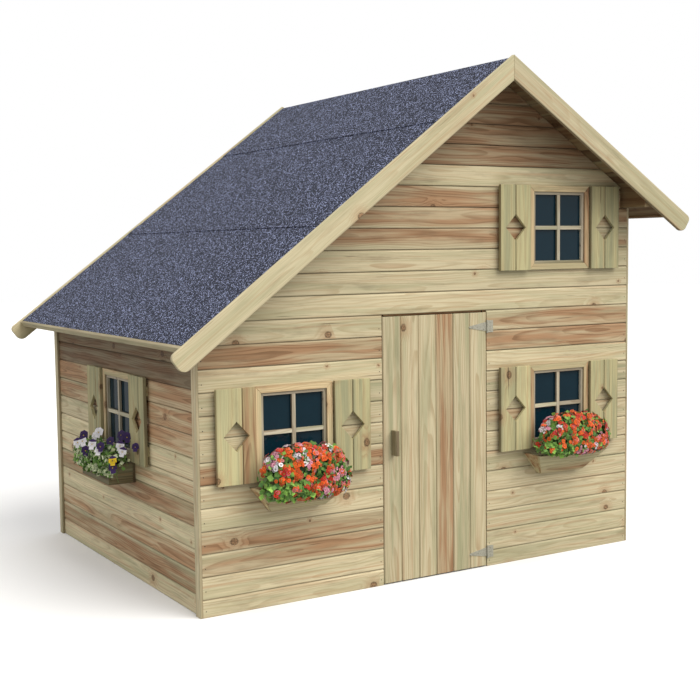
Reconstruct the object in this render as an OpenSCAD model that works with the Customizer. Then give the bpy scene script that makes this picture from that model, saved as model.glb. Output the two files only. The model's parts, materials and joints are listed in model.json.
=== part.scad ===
// Two-level wooden playhouse: boarded walls, an uneven gable roof with felt, a hinged plank door,
// four glazed windows with shutters, three flower boxes, a floor and a sleeping deck with a ladder.
// Millimetres, +Z up, the door side faces -Y. The origin is on the ground, under the roof's middle.

/* [House] */
// Width of the door wall, over the corner strips
house_w = 2375; // [2300:5:2450]
// Depth of the house, from the door wall's face to the back wall's face
house_d = 1830; // [1750:5:1900]
// Distance of the ridge from the low side wall
ridge_x = 1493; // [1450:1:1540]
// Height of the verge boards' peak above the ground
peak_z = 2360; // [2340:1:2400]

/* [Roof] */
// Pitch of the long slope, in degrees
pitch_long = 36.9; // [36:0.1:38]
// Pitch of the short slope, in degrees
pitch_short = 32.7; // [31.5:0.1:33.5]
// How far the verge boards stand out past the end walls
overhang = 185; // [150:5:200]
// Length of the long verge boards, along the slope
long_run = 2098; // [2080:1:2120]
// Length of the short verge boards, along the slope
short_run = 1332; // [1300:1:1360]
// Width of a verge board
verge_w = 91; // [80:1:95]
// Thickness of a verge board
verge_t = 18; // [14:1:22]
// Thickness of the roof boards
roof_t = 18; // [14:1:20]
// Thickness of one layer of roofing felt
felt_t = 3; // [2:0.5:4]
// How far the felt lies below the verge boards' top edge
felt_drop = 8; // [4:1:12]

/* [Cladding] */
// Height of one row of boards
board_pitch = 95; // [95:1:95]
// Height of the bottom row on the end walls
first_row = 76; // [70:1:90]
// Height of the bottom row on the side walls
side_first_row = 85; // [70:1:95]
// Thickness of the wall boards
clad_t = 16; // [14:1:18]
// Width of a corner strip
corner_w = 45; // [38:1:55]
// Thickness of a corner strip
corner_t = 12; // [10:1:15]

/* [Windows] */
// Width over a window's frame
window_w = 374; // [360:2:390]
// Height over a window's frame
window_h = 398; // [390:2:410]
// Width of the frame's outer strips
casing_w = 29; // [24:1:34]
// Width of the sash inside the frame
sash_w = 13; // [10:1:16]
// Width of a glazing bar
bar_w = 18; // [14:1:22]
// Place of the low left window's middle along the door wall
window_left_x = 447; // [440:1:455]
// Place of the right windows' middle along the door wall
window_right_x = 1911; // [1905:1:1915]
// Height of the low windows' middle
window_low_z = 743; // [740:1:746]
// Height of the upper window's middle
window_high_z = 1596; // [1593:1:1599]
// Place of the side window's middle along the low side wall
window_side_y = 902; // [840:1:960]
// Height of the side window's middle
window_side_z = 751; // [745:1:757]

/* [Shutters] */
// Width of a shutter
shutter_w = 180; // [174:1:184]
// Height of a shutter
shutter_h = 400; // [390:2:410]
// Width of the diamond cut-out
diamond_w = 118; // [100:1:124]
// Height of the diamond cut-out
diamond_h = 126; // [110:1:132]
// How far the boards' joint lies off the middle of an uneven shutter
shutter_offset = 28; // [0:1:34]

/* [Door] */
// Width of the door leaf
door_w = 576; // [570:1:578]
// Height of the door leaf
door_h = 1199; // [1190:1:1202]
// Place of the leaf's free edge along the door wall
door_x = 899; // [898:1:901]
// Number of upright boards in the leaf
door_boards = 6; // [6:1:6]
// How far the handle slat stands out
handle_out = 43; // [35:1:50]

/* [Flower boxes] */
// Width of a front flower box at its rim
box_rim_w = 430; // [400:5:450]
// Width of a front flower box at its floor
box_floor_w = 262; // [240:2:280]
// Depth of a front flower box at its rim
box_rim_d = 122; // [110:1:130]
// Depth of a front flower box at its floor
box_floor_d = 37; // [32:1:45]
// Height of a front flower box
box_h = 104; // [90:1:110]
// Height of a front flower box's underside above the ground
box_z = 416; // [405:1:425]

/* [Inside] */
// Height of the floor joists
joist_h = 58; // [45:1:60]
// Height of the deck's joists above the ground
deck_z = 1232; // [1225:1:1240]
// Place of the deck's open edge along the door wall
deck_x = 1207; // [1190:1:1220]

/* [Hidden] */
$fn = 48;
eps = 0.5;
gap = 1;
big = 6000;
fit = 0.3;

bevel_h = 11;
bevel_d = 5;
rows = ceil((peak_z - first_row) / board_pitch);
batten_t = 28;
batten_w = 45;
under_boards = felt_drop + felt_t + roof_t;
rafter_h = 45;
under_rafters = under_boards + rafter_h;
clad_gap = 1;

verge_end = 35;
verge_tip = 22;
trim_set = 62;
trim_t = 16;
trim_h = 27;
felt_seam_low = 1215;
felt_seam_high = 465;
felt_seam_short = 500;
felt_lap = 40;
felt_rest = 0.05;
plate_h = 56;
plate_z = 1694;
plate_w = 45;

long_far = (long_run - verge_tip) * cos(pitch_long) - verge_tip * sin(pitch_long) + verge_tip;
short_far = (short_run - verge_tip) * cos(pitch_short) - verge_tip * sin(pitch_short) + verge_tip;
mid_x = ridge_x + (short_far - long_far) / 2;
mid_y = house_d / 2;
ridge_shift = (1 / cos(pitch_long) - 1 / cos(pitch_short)) / (tan(pitch_long) + tan(pitch_short));

casing_t = 14;
casing_back = 8;
sash_t = 14;
pane_t = 3;
pane_set = 6;
shutter_t = 16;
batten_back = 12;
shutter_gap = 3;
shutter_batten_h = 45;

door_t = 16;
door_z = 6;
door_out = 2;
door_gap = 3;
door_head = first_row + 12 * board_pitch;
door_pitch = door_w / door_boards;
ledge_t = 20;
ledge_h = 70;
ledge_in = 34;
ledge_zs = [150, 620, 1060];
handle_w = 16;
handle_z = 586;
handle_h = 113;
handle_x = 941;

pin_x = door_x + door_w + 1.5;
pin_y = -6.5;
pin_r = 2.5;
pin_play = 0.05;
barrel_r = 4.6;
hinge_t = 2;
hinge_zs = [71, 1139];
leaf_w = 38;
leaf_h = 56;
knuckle_h = 7.6;
strap_len = 104;
strap_root = 40.2;
strap_tip = 9;
screw_r = 3.6;
screw_out = 1.4;
screw_len = 12;

box_wall = 12;
side_box_w = 360;
side_box_d = 128;
side_box_h = 92;
side_box_z = 450;
soil_drop = 18;

// ---- Places ----

// Moves the house's own corner frame so that the origin is under the roof's middle
module placed() {
    translate([-mid_x, -mid_y, 0]) children();
}

// Puts a piece on the door wall: its X runs to the right, its Y runs into the wall
module on_front(x, z) {
    translate([x, 0, z]) children();
}

// Puts a piece on the low side wall in the same way
module on_low_side(y, z) {
    translate([corner_t, y, z]) rotate([0, 0, -90]) children();
}

module at_all_windows() {
    on_front(window_left_x, window_low_z) children();
    on_front(window_right_x, window_low_z) children();
    on_front(window_right_x, window_high_z) children();
    on_low_side(window_side_y, window_side_z) children();
}

// Extrudes a Y-Z outline along X
module along_x(len) {
    rotate([90, 0, 90]) linear_extrude(len) children();
}

// Extrudes an X-Z outline along Y, from y0 to y1
module along_y(y0, y1) {
    translate([0, y1, 0]) rotate([90, 0, 0]) linear_extrude(y1 - y0) children();
}

// Local frame of a slope: X runs down the slope from the ridge, Z stands off it, Y stays Y
module long_slope() {
    translate([ridge_x, 0, peak_z]) mirror([1, 0, 0]) rotate([0, pitch_long, 0]) children();
}

module short_slope() {
    translate([ridge_x, 0, peak_z]) rotate([0, pitch_short, 0]) children();
}

// Keeps what lies on one side of the ridge's upright plane
module left_of_ridge(clear = 0) {
    intersection() {
        children();
        translate([ridge_x - clear - big, -big / 2, 0]) cube([big, big, big]);
    }
}

module right_of_ridge(clear = 0) {
    intersection() {
        children();
        translate([ridge_x + clear, -big / 2, 0]) cube([big, big, big]);
    }
}

function long_z(x, drop) = peak_z - (ridge_x - x) * tan(pitch_long) - drop / cos(pitch_long);
function short_z(x, drop) = peak_z - (x - ridge_x) * tan(pitch_short) - drop / cos(pitch_short);
function ridge_z(drop) = let (x = ridge_x + drop * ridge_shift) min(long_z(x, drop), short_z(x, drop));

// The space under the roof, a given depth below the verge boards' top edges
module under_roof(drop, x0, x1, y0, y1) {
    along_y(y0, y1) polygon([
        [x0, 0], [x1, 0], [x1, short_z(x1, drop)],
        [ridge_x + drop * ridge_shift, ridge_z(drop)], [x0, long_z(x0, drop)]
    ]);
}

// ---- Cladding ----

// One wall board: a bevel along its top edge sheds water onto the row below
module wall_board(len, h) {
    along_x(len) polygon([
        [0, 0], [0, h - bevel_h], [bevel_d, h - gap], [clad_t, h - gap], [clad_t, 0]
    ]);
}

module board_rows(len, first, count) {
    wall_board(len, first);
    for (i = [0 : count - 2])
        translate([0, 0, first + i * board_pitch]) wall_board(len, board_pitch);
}

module window_hole() {
    w = window_w - 2 * casing_w + 2 * fit;
    h = window_h - 2 * casing_w + 2 * fit;
    translate([-w / 2, -big / 2, -h / 2]) cube([w, big, h]);
}

module front_window_holes() {
    on_front(window_left_x, window_low_z) window_hole();
    on_front(window_right_x, window_low_z) window_hole();
    on_front(window_right_x, window_high_z) window_hole();
}

module door_hole() {
    translate([door_x - door_gap, -big / 2, -eps])
        cube([door_w + 2 * door_gap, big, door_head + eps]);
}

module plate_slot() {
    translate([house_w - corner_t - plate_w - gap, -big / 2, plate_z - gap])
        cube([big, big, plate_h * 2]);
}

module front_cladding() {
    color("burlywood") placed() difference() {
        intersection() {
            translate([corner_t, 0, 0]) board_rows(house_w - 2 * corner_t, first_row, rows);
            under_roof(under_boards + clad_gap, corner_t, house_w - corner_t, -eps, clad_t + eps);
        }
        intersection() {
            front_window_holes();
            translate([0, -eps, 0]) cube([house_w, clad_t + 2 * eps, peak_z]);
        }
        door_hole();
        plate_slot();
    }
}

module back_cladding() {
    color("burlywood") placed() difference() {
        intersection() {
            translate([house_w - corner_t, house_d, 0]) rotate([0, 0, 180])
                board_rows(house_w - 2 * corner_t, first_row, rows);
            under_roof(under_boards + clad_gap, corner_t, house_w - corner_t,
                house_d - clad_t - eps, house_d + eps);
        }
        plate_slot();
    }
}

module low_side_cladding() {
    len = house_d - 2 * clad_t - 2 * gap;
    top = long_z(corner_t, under_boards + clad_gap);
    color("tan") placed() difference() {
        intersection() {
            translate([corner_t, house_d - clad_t - gap, 0]) rotate([0, 0, -90])
                board_rows(len, side_first_row, ceil((top - side_first_row) / board_pitch) + 1);
            under_roof(under_boards + clad_gap, 0, house_w, 0, house_d);
        }
        intersection() {
            on_low_side(window_side_y, window_side_z) window_hole();
            cube([corner_t + clad_t + eps, house_d, peak_z]);
        }
    }
}

module high_side_cladding() {
    len = house_d - 2 * clad_t - 2 * gap;
    count = ceil((plate_z - side_first_row) / board_pitch) + 1;
    color("tan") placed() intersection() {
        translate([house_w - corner_t, clad_t + gap, 0]) rotate([0, 0, 90])
            board_rows(len, side_first_row, count);
        translate([house_w - 2 * corner_t - clad_t, 0, 0]) cube([2 * clad_t, house_d, plate_z - gap]);
    }
}

// ---- Framing ----

module stud(x, y, z0 = 0) {
    translate([x - batten_w / 2, y, z0]) cube([batten_w, batten_t, peak_z]);
}

module front_studs() {
    half = window_w / 2 + batten_w / 2 - casing_w + 2;
    color("tan") placed() intersection() {
        union() {
            stud(corner_t + clad_t + batten_t + batten_w / 2 + gap, clad_t);
            stud(window_left_x - half, clad_t);
            stud(window_left_x + half, clad_t);
            stud(door_x - door_gap + 14 - batten_w / 2, clad_t);
            stud(door_x + door_w + door_gap - 14 + batten_w / 2, clad_t);
            stud(window_right_x - half, clad_t);
            stud(window_right_x + half, clad_t);
            stud(house_w - corner_t - clad_t - batten_t - batten_w / 2 - gap, clad_t);
            stud(door_x + door_w / 2, clad_t, door_head + 60);
            translate([door_x + 16 + gap, clad_t, door_head - 10])
                cube([door_w - 32 - 2 * gap, batten_t, batten_w]);
        }
        under_roof(under_rafters + gap, corner_t, house_w - corner_t, 0, house_d);
    }
}

module back_studs() {
    spread = (house_w - 2 * (corner_t + clad_t + batten_t + gap) - batten_w) / 4;
    color("tan") placed() intersection() {
        for (i = [0 : 4])
            stud(corner_t + clad_t + batten_t + gap + batten_w / 2 + i * spread,
                house_d - clad_t - batten_t);
        under_roof(under_rafters + gap, corner_t, house_w - corner_t, 0, house_d);
    }
}

module side_stud(x, y) {
    translate([x, y - batten_w / 2, 0]) cube([batten_t, batten_w, peak_z]);
}

function side_stud_ys() = [
    clad_t + batten_w / 2 + gap,
    window_side_y - window_w / 2 - batten_w / 2 + casing_w - 2,
    window_side_y + window_w / 2 + batten_w / 2 - casing_w + 2,
    house_d - clad_t - batten_w / 2 - gap
];

module low_side_studs() {
    color("tan") placed() intersection() {
        for (y = side_stud_ys()) side_stud(corner_t + clad_t, y);
        under_roof(under_boards + gap, 0, house_w, 0, house_d);
    }
}

module high_side_studs() {
    color("tan") placed() intersection() {
        for (y = side_stud_ys()) side_stud(house_w - corner_t - clad_t - batten_t, y);
        cube([house_w, house_d, plate_z - gap]);
    }
}

module corner_strip(x, y, top) {
    translate([x, y, 0]) cube([corner_t - fit, corner_w, top]);
}

module corner_strips() {
    low_top = long_z(0, under_boards + clad_gap);
    color("burlywood") placed() for (y = [0, house_d - corner_w]) {
        corner_strip(0, y, low_top);
        corner_strip(house_w - corner_t + fit, y, plate_z - gap);
    }
}

// ---- Floor, deck and ladder ----

inner_x0 = corner_t + clad_t + batten_t + gap;
inner_x1 = house_w - inner_x0;
inner_y0 = clad_t + batten_t + gap;
inner_y1 = house_d - inner_y0;

module floor_joists() {
    step = (inner_y1 - inner_y0 - batten_w) / 4;
    color("tan") placed() for (i = [0 : 4])
        translate([inner_x0, inner_y0 + i * step, 0]) cube([inner_x1 - inner_x0, batten_w, joist_h]);
}

module floor_boards() {
    count = floor((inner_x1 - inner_x0) / board_pitch);
    pitch = (inner_x1 - inner_x0) / count;
    color("burlywood") placed() for (i = [0 : count - 1])
        translate([inner_x0 + i * pitch, inner_y0, joist_h])
            cube([pitch - gap, inner_y1 - inner_y0, roof_t]);
}

module deck_joists() {
    step = (inner_x1 - deck_x - batten_w) / 3;
    color("tan") placed() for (i = [0 : 3])
        translate([deck_x + i * step, inner_y0, deck_z]) cube([batten_w, inner_y1 - inner_y0, 70]);
}

module deck_boards() {
    count = floor((inner_y1 - inner_y0) / board_pitch);
    pitch = (inner_y1 - inner_y0) / count;
    color("burlywood") placed() for (i = [0 : count - 1])
        translate([deck_x - 15, inner_y0 + i * pitch, deck_z + 70])
            cube([inner_x1 - deck_x + 15, pitch - gap, roof_t]);
}

ladder_w = 360;
ladder_x = deck_x - 15 - 70;
ladder_y = inner_y1 - ladder_w - 60;

module ladder_stiles() {
    color("burlywood") placed() for (y = [ladder_y, ladder_y + ladder_w - batten_t])
        translate([ladder_x, y, joist_h + roof_t]) cube([58, batten_t, deck_z + 230]);
}

module ladder_rungs() {
    color("tan") placed() for (i = [1 : 5])
        translate([ladder_x + 29, ladder_y + batten_t, joist_h + roof_t + i * 225])
            rotate([-90, 0, 0]) cylinder(h = ladder_w - 2 * batten_t, r = 14);
}

// ---- Door ----

module door_boards() {
    v = 4;
    w = door_pitch - 0.6;
    color("burlywood") placed() translate([door_x, -door_out, door_z]) for (i = [0 : door_boards - 1])
        translate([i * door_pitch + 0.3, 0, 0]) linear_extrude(door_h) polygon([
            [v, 0], [w - v, 0], [w, v], [w, door_t], [0, door_t], [0, v]
        ]);
}

module door_ledges() {
    color("tan") placed() for (z = ledge_zs)
        translate([door_x + ledge_in, door_t - door_out, z]) cube([door_w - 2 * ledge_in, ledge_t, ledge_h]);
}

module door_brace() {
    z0 = ledge_zs[0] + ledge_h + gap;
    z1 = ledge_zs[1] - gap;
    x0 = door_x + door_w - ledge_in - 90;
    x1 = door_x + ledge_in;
    color("tan") placed() for (up = [0, ledge_zs[2] - ledge_zs[1] - (ledge_zs[1] - ledge_zs[0])]) {
        dz = up == 0 ? 0 : ledge_zs[1] - ledge_zs[0];
        top = up == 0 ? z1 : ledge_zs[2] - gap - dz;
        translate([0, 0, dz]) along_y(door_t - door_out, door_t - door_out + ledge_t)
            polygon([[x0, z0], [x0 + 90, z0], [x1 + 90, top], [x1, top]]);
    }
}

module door_handle() {
    r = 4;
    color("burlywood") placed() translate([handle_x, -door_out - handle_out, handle_z])
        linear_extrude(handle_h) union() {
            translate([0, r]) square([handle_w, handle_out - r]);
            translate([r, 0]) square([handle_w - 2 * r, handle_out]);
            translate([r, r]) circle(r);
            translate([handle_w - r, r]) circle(r);
        }
}

// ---- Hinges ----

// The pin's hole, running clear through every knuckle
module pin_hole(z) {
    translate([pin_x, pin_y, z - leaf_h]) cylinder(h = 2 * leaf_h, r = pin_r + pin_play);
}

module knuckle(z0, z1) {
    translate([pin_x, pin_y, z0]) cylinder(h = z1 - z0, r = barrel_r);
}

module hinge_leaf(z) {
    plate_y = -hinge_t - 0.2;
    difference() {
        union() {
            translate([pin_x + barrel_r + 1.2, plate_y, z - leaf_h / 2])
                cube([leaf_w - barrel_r - 1.2, hinge_t, leaf_h]);
            for (side = [-1, 1]) {
                z0 = side < 0 ? z - leaf_h / 2 : z + leaf_h / 2 - knuckle_h;
                knuckle(z0, z0 + knuckle_h);
                translate([pin_x, plate_y, z0]) cube([barrel_r + 2, hinge_t, knuckle_h]);
            }
        }
        pin_hole(z);
    }
}

module hinge_leaves() {
    color("silver") placed() for (z = hinge_zs) hinge_leaf(z);
}

module hinge_strap(z) {
    plate_y = -door_out - hinge_t - 0.2;
    difference() {
        union() {
            along_y(plate_y, plate_y + hinge_t) polygon([
                [pin_x, z - strap_root / 2], [pin_x, z + strap_root / 2],
                [pin_x - 12, z + strap_root / 2],
                [pin_x - strap_len + 4, z + strap_tip / 2], [pin_x - strap_len, z],
                [pin_x - strap_len + 4, z - strap_tip / 2],
                [pin_x - 12, z - strap_root / 2]
            ]);
            knuckle(z - strap_root / 2, z + strap_root / 2);
        }
        pin_hole(z);
    }
}

module hinge_straps() {
    color("silver") placed() for (z = hinge_zs) hinge_strap(z);
}

module hinge_pins() {
    color("silver") placed() for (z = hinge_zs) translate([pin_x, pin_y, z]) {
        translate([0, 0, -leaf_h / 2 - 1.5]) cylinder(h = leaf_h + 3, r = pin_r);
        for (side = [-1, 1])
            translate([0, 0, side * (leaf_h / 2 + 1.2) - 1]) cylinder(h = 2, r = barrel_r - 0.6);
    }
}

// A countersunk wood screw, driven along +Y, its head's face at the origin
module wood_screw() {
    rotate([-90, 0, 0]) difference() {
        union() {
            cylinder(h = screw_out, r = screw_r);
            cylinder(h = screw_len, r = screw_r / 2);
        }
        for (turn = [0, 90]) rotate([0, 0, turn])
            translate([-screw_r * 0.7, -0.35, -eps]) cube([screw_r * 1.4, 0.7, eps + 0.9]);
    }
}

module hinge_leaf_screws() {
    color("silver") placed() for (z = hinge_zs) for (dz = [-18, 0, 18])
        translate([pin_x + leaf_w * 0.6, -hinge_t - screw_out, z + dz]) wood_screw();
}

module hinge_strap_screws() {
    color("silver") placed() for (z = hinge_zs) for (p = [[18, 10], [18, -10], [52, 0], [84, 0]])
        translate([pin_x - p[0], -door_out - hinge_t - screw_out, z + p[1]]) wood_screw();
}

// ---- Windows ----

// Four mitred strips around an opening, each its own solid
module mitred_frame(w, h, strip, t) {
    for (turn = [0, 180]) rotate([0, turn, 0]) {
        along_y(0, t) polygon([
            [-w / 2 + gap / 4, -h / 2], [w / 2 - gap / 4, -h / 2],
            [w / 2 - strip - gap / 4, -h / 2 + strip], [-w / 2 + strip + gap / 4, -h / 2 + strip]
        ]);
        along_y(0, t) polygon([
            [w / 2, -h / 2 + gap / 4], [w / 2, h / 2 - gap / 4],
            [w / 2 - strip, h / 2 - strip - gap / 4], [w / 2 - strip, -h / 2 + strip + gap / 4]
        ]);
    }
}

module casing() {
    translate([0, -casing_t, 0]) mitred_frame(window_w, window_h, casing_w, casing_t - fit);
}

module sash() {
    w = window_w - 2 * casing_w;
    h = window_h - 2 * casing_w;
    inner_w = w - 2 * sash_w;
    inner_h = h - 2 * sash_w;
    translate([0, -casing_t + casing_back, 0]) {
        mitred_frame(w, h, sash_w, sash_t);
        translate([-bar_w / 2, 1, -inner_h / 2 + gap / 2]) cube([bar_w, sash_t - 2, inner_h - gap]);
        for (side = [-1, 1])
            translate([side > 0 ? bar_w / 2 + gap / 2 : -inner_w / 2 + gap / 2, 1, -bar_w / 2])
                cube([inner_w / 2 - bar_w / 2 - gap, sash_t - 2, bar_w]);
    }
}

module pane() {
    w = window_w - 2 * casing_w;
    h = window_h - 2 * casing_w;
    translate([-w / 2, -casing_t + casing_back + sash_t + fit, -h / 2]) cube([w, pane_t, h]);
}

module casing_front_left() {
    color("burlywood") placed() on_front(window_left_x, window_low_z) casing();
}

module casing_front_right() {
    color("burlywood") placed() on_front(window_right_x, window_low_z) casing();
}

module casing_front_upper() {
    color("burlywood") placed() on_front(window_right_x, window_high_z) casing();
}

module casing_side() {
    color("burlywood") placed() on_low_side(window_side_y, window_side_z) casing();
}

module sash_front_left() {
    color("wheat") placed() on_front(window_left_x, window_low_z) sash();
}

module sash_front_right() {
    color("wheat") placed() on_front(window_right_x, window_low_z) sash();
}

module sash_front_upper() {
    color("wheat") placed() on_front(window_right_x, window_high_z) sash();
}

module sash_side() {
    color("wheat") placed() on_low_side(window_side_y, window_side_z) sash();
}

module window_panes() {
    color("darkslategray") placed() at_all_windows() pane();
}

// ---- Shutters ----

module diamond_hole() {
    along_y(-big / 2, big / 2) polygon([
        [-diamond_w / 2, 0], [0, diamond_h / 2], [diamond_w / 2, 0], [0, -diamond_h / 2]
    ]);
}

// One upright shutter board: it runs from the joint to the shutter's edge
module shutter_board(len) {
    v = 4;
    translate([gap / 4, -shutter_t - batten_back, -shutter_h / 2]) linear_extrude(shutter_h) polygon([
        [0, v], [v, 0], [len, 0], [len, shutter_t], [0, shutter_t]
    ]);
}

// Two upright boards with a groove between them, a diamond cut through both
module shutter(joint = 0) {
    difference() {
        translate([joint, 0, 0]) {
            shutter_board(shutter_w / 2 - joint);
            mirror([1, 0, 0]) shutter_board(shutter_w / 2 + joint);
        }
        diamond_hole();
    }
}

module shutter_back() {
    for (side = [-1, 1])
        translate([-shutter_w / 2 + 12, -batten_back, side * shutter_h * 0.34 - shutter_batten_h / 2])
            cube([shutter_w - 24, batten_back - fit, shutter_batten_h]);
}

// Places a piece on one side of a window, or a pair of pieces on both sides
module beside(side) {
    translate([side * (window_w / 2 + shutter_gap + shutter_w / 2), 0, 0]) children();
}

module paired() {
    beside(-1) children();
    beside(1) children();
}

module shutter_boards_front_left() {
    color("darkkhaki") placed() on_front(window_left_x, window_low_z) {
        beside(-1) shutter(shutter_offset);
        beside(1) shutter();
    }
}

module shutter_boards_front_right() {
    color("darkkhaki") placed() on_front(window_right_x, window_low_z) paired() shutter();
}

module shutter_boards_front_upper() {
    color("darkkhaki") placed() on_front(window_right_x, window_high_z) paired() shutter();
}

module shutter_boards_side() {
    color("darkkhaki") placed() on_low_side(window_side_y, window_side_z) paired() shutter(shutter_offset);
}

module shutter_battens() {
    color("tan") placed() at_all_windows() paired() shutter_back();
}

// ---- Roof ----

// A verge board's outline along its slope, with its lower end rounded
module verge_outline(run) {
    translate([-120, -verge_w]) square([120 + run - verge_end, verge_w]);
    translate([run - verge_end - eps, -verge_w + verge_end])
        square([verge_end + eps, verge_w - verge_end - verge_tip]);
    translate([run - verge_end - eps, -verge_tip - eps])
        square([verge_end + eps - verge_tip, verge_tip + eps]);
    translate([run - verge_end, -verge_w + verge_end]) circle(verge_end);
    translate([run - verge_tip, -verge_tip]) circle(verge_tip);
}

module verge_pair(y0) {
    left_of_ridge(gap / 4) long_slope() along_y(y0, y0 + verge_t) verge_outline(long_run);
    right_of_ridge(gap / 4) short_slope() along_y(y0, y0 + verge_t) verge_outline(short_run);
}

module verge_boards_front() {
    color("burlywood") placed() verge_pair(-overhang);
}

module verge_boards_back() {
    color("burlywood") placed() verge_pair(house_d + overhang - verge_t);
}

roof_y0 = -overhang + verge_t;
roof_y1 = house_d + overhang - verge_t;
long_deck = long_run - trim_set - trim_t;
short_deck = short_run - trim_set - trim_t;

// A layer on a slope from u0 to u1, its top a given depth below the verge boards' top edges
module layer(u0, u1, drop, t) {
    translate([u0, roof_y0, -drop - t]) cube([u1 - u0, roof_y1 - roof_y0, t]);
}

module roof_board_set(run) {
    count = ceil(run / board_pitch);
    for (i = [0 : count - 1])
        layer(i == 0 ? -60 : run - (count - i) * board_pitch, run - (count - 1 - i) * board_pitch - gap,
            felt_drop + felt_t, roof_t);
}

module roof_boards_long() {
    color("tan") placed() left_of_ridge(gap / 4) long_slope() roof_board_set(long_deck);
}

module roof_boards_short() {
    color("tan") placed() right_of_ridge(gap) short_slope() roof_board_set(short_deck);
}

// One felt strip: it lies on the boards and laps over the strip below it
module felt_strip(u0, u1, lap) {
    layer(u0, u1, felt_drop, felt_t);
    if (lap > 0) layer(u1 - felt_lap, u1 + lap, felt_drop - felt_t, felt_t);
}

module felt_eave_long() {
    color("dimgray") placed() long_slope() felt_strip(felt_seam_low, long_deck, 0);
}

module felt_middle_long() {
    color("dimgray") placed() long_slope() felt_strip(felt_seam_high, felt_seam_low - fit, felt_lap);
}

// Points in the roof's upright section: u down a slope from the ridge, drop below the verge boards' top edge
function on_long(u, drop) = [
    ridge_x - u * cos(pitch_long) + drop * sin(pitch_long),
    peak_z - u * sin(pitch_long) - drop * cos(pitch_long)
];
function on_short(u, drop) = [
    ridge_x + u * cos(pitch_short) - drop * sin(pitch_short),
    peak_z - u * sin(pitch_short) - drop * cos(pitch_short)
];
function on_ridge(drop) = [ridge_x + drop * ridge_shift, ridge_z(drop)];

// The ridge strip is one sheet bent over the ridge, and it laps over the strips on both slopes
module felt_ridge() {
    under = felt_drop + felt_t - felt_rest;
    rest = felt_drop - felt_rest;
    lapped = felt_drop - felt_t;
    u = felt_seam_high - fit;
    v = felt_seam_short - fit;
    color("dimgray") placed() along_y(roof_y0, roof_y1) polygon([
        on_long(u, under), on_ridge(under), on_short(v, under),
        on_short(v, rest), on_short(v + felt_lap, rest), on_short(v + felt_lap, lapped),
        on_short(v - felt_lap, lapped), on_short(v - felt_lap, felt_drop),
        on_ridge(felt_drop),
        on_long(u - felt_lap, felt_drop), on_long(u - felt_lap, lapped),
        on_long(u + felt_lap, lapped), on_long(u + felt_lap, rest), on_long(u, rest)
    ]);
}

module felt_eave_short() {
    color("dimgray") placed() short_slope() felt_strip(felt_seam_short, short_deck, 0);
}

module eave_trim(run) {
    translate([run + gap / 2, roof_y0, -felt_drop - trim_h]) cube([trim_t, roof_y1 - roof_y0, trim_h]);
}

module eave_trims() {
    color("burlywood") placed() {
        long_slope() eave_trim(long_deck);
        short_slope() eave_trim(short_deck);
    }
}

function rafter_ys() = [
    clad_t + gap / 4,
    house_d * 0.36,
    house_d * 0.64,
    house_d - clad_t - batten_t - gap / 4
];

ridge_board_t = 22;

module rafters() {
    long_in = (ridge_x - inner_x0) / cos(pitch_long);
    short_in = (inner_x1 - plate_w - ridge_x) / cos(pitch_short);
    color("tan") placed() for (y = rafter_ys()) {
        left_of_ridge(ridge_board_t / 2 + gap) long_slope()
            translate([0, y, -under_rafters]) cube([long_in, batten_t, rafter_h]);
        right_of_ridge(ridge_board_t / 2 + gap) short_slope()
            translate([0, y, -under_rafters]) cube([short_in, batten_t, rafter_h]);
    }
}

module ridge_board() {
    top = ridge_z(under_boards) - 12;
    color("tan") placed() translate([ridge_x - ridge_board_t / 2, inner_y0, top - 90])
        cube([ridge_board_t, inner_y1 - inner_y0, 90]);
}

// The beam on the high side wall runs out under the roof's overhangs
module high_wall_plate() {
    x0 = house_w - corner_t - plate_w;
    color("tan") placed() along_y(roof_y0 + gap, roof_y1 - gap) polygon([
        [x0, plate_z], [x0 + plate_w, plate_z],
        [x0 + plate_w, short_z(x0 + plate_w, under_boards + gap)],
        [x0, short_z(x0, under_boards + gap)]
    ]);
}

// ---- Flower boxes ----

// Side outline of a front flower box: upright at the wall, leaning outwards in front
module box_side(inset, floor_cut, rim_cut) {
    lean = (box_rim_d - box_floor_d) / box_h;
    z0 = floor_cut;
    z1 = box_h - rim_cut;
    polygon([
        [-gap - inset, z0], [-gap - inset, z1],
        [-box_floor_d - lean * z1 + inset * 1.3, z1],
        [-box_floor_d - lean * z0 + inset * 1.3, z0]
    ]);
}

module box_front(inset, floor_cut, rim_cut) {
    lean = (box_rim_w - box_floor_w) / 2 / box_h;
    z0 = floor_cut;
    z1 = box_h - rim_cut;
    polygon([
        [-box_floor_w / 2 - lean * z0 + inset * 1.3, z0], [box_floor_w / 2 + lean * z0 - inset * 1.3, z0],
        [box_floor_w / 2 + lean * z1 - inset * 1.3, z1], [-box_floor_w / 2 - lean * z1 + inset * 1.3, z1]
    ]);
}

module box_solid(inset, floor_cut, rim_cut) {
    intersection() {
        translate([-box_rim_w, 0, 0]) along_x(2 * box_rim_w) box_side(inset, floor_cut, rim_cut);
        along_y(-2 * box_rim_d, 0) box_front(inset, floor_cut, rim_cut);
    }
}

// Back and front boards run the full width; the ends and the floor fit between them
module flower_box() {
    difference() {
        box_solid(0, 0, 0);
        box_solid(box_wall, box_wall, -eps);
        box_joints();
    }
}

// Hairline joints that part the box into its boards
module box_joints() {
    lean = (box_rim_d - box_floor_d) / box_h;
    hair = 0.4;
    translate([-box_rim_w, 0, 0]) along_x(2 * box_rim_w) {
        polygon([
            [-gap - box_wall - hair, -eps], [-gap - box_wall, -eps],
            [-gap - box_wall, box_h + eps], [-gap - box_wall - hair, box_h + eps]
        ]);
        translate([box_wall * 1.3, 0]) polygon([
            [-box_floor_d, -eps], [-box_floor_d + hair, -eps],
            [-box_floor_d - lean * box_h + hair, box_h + eps], [-box_floor_d - lean * box_h, box_h + eps]
        ]);
    }
}

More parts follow.
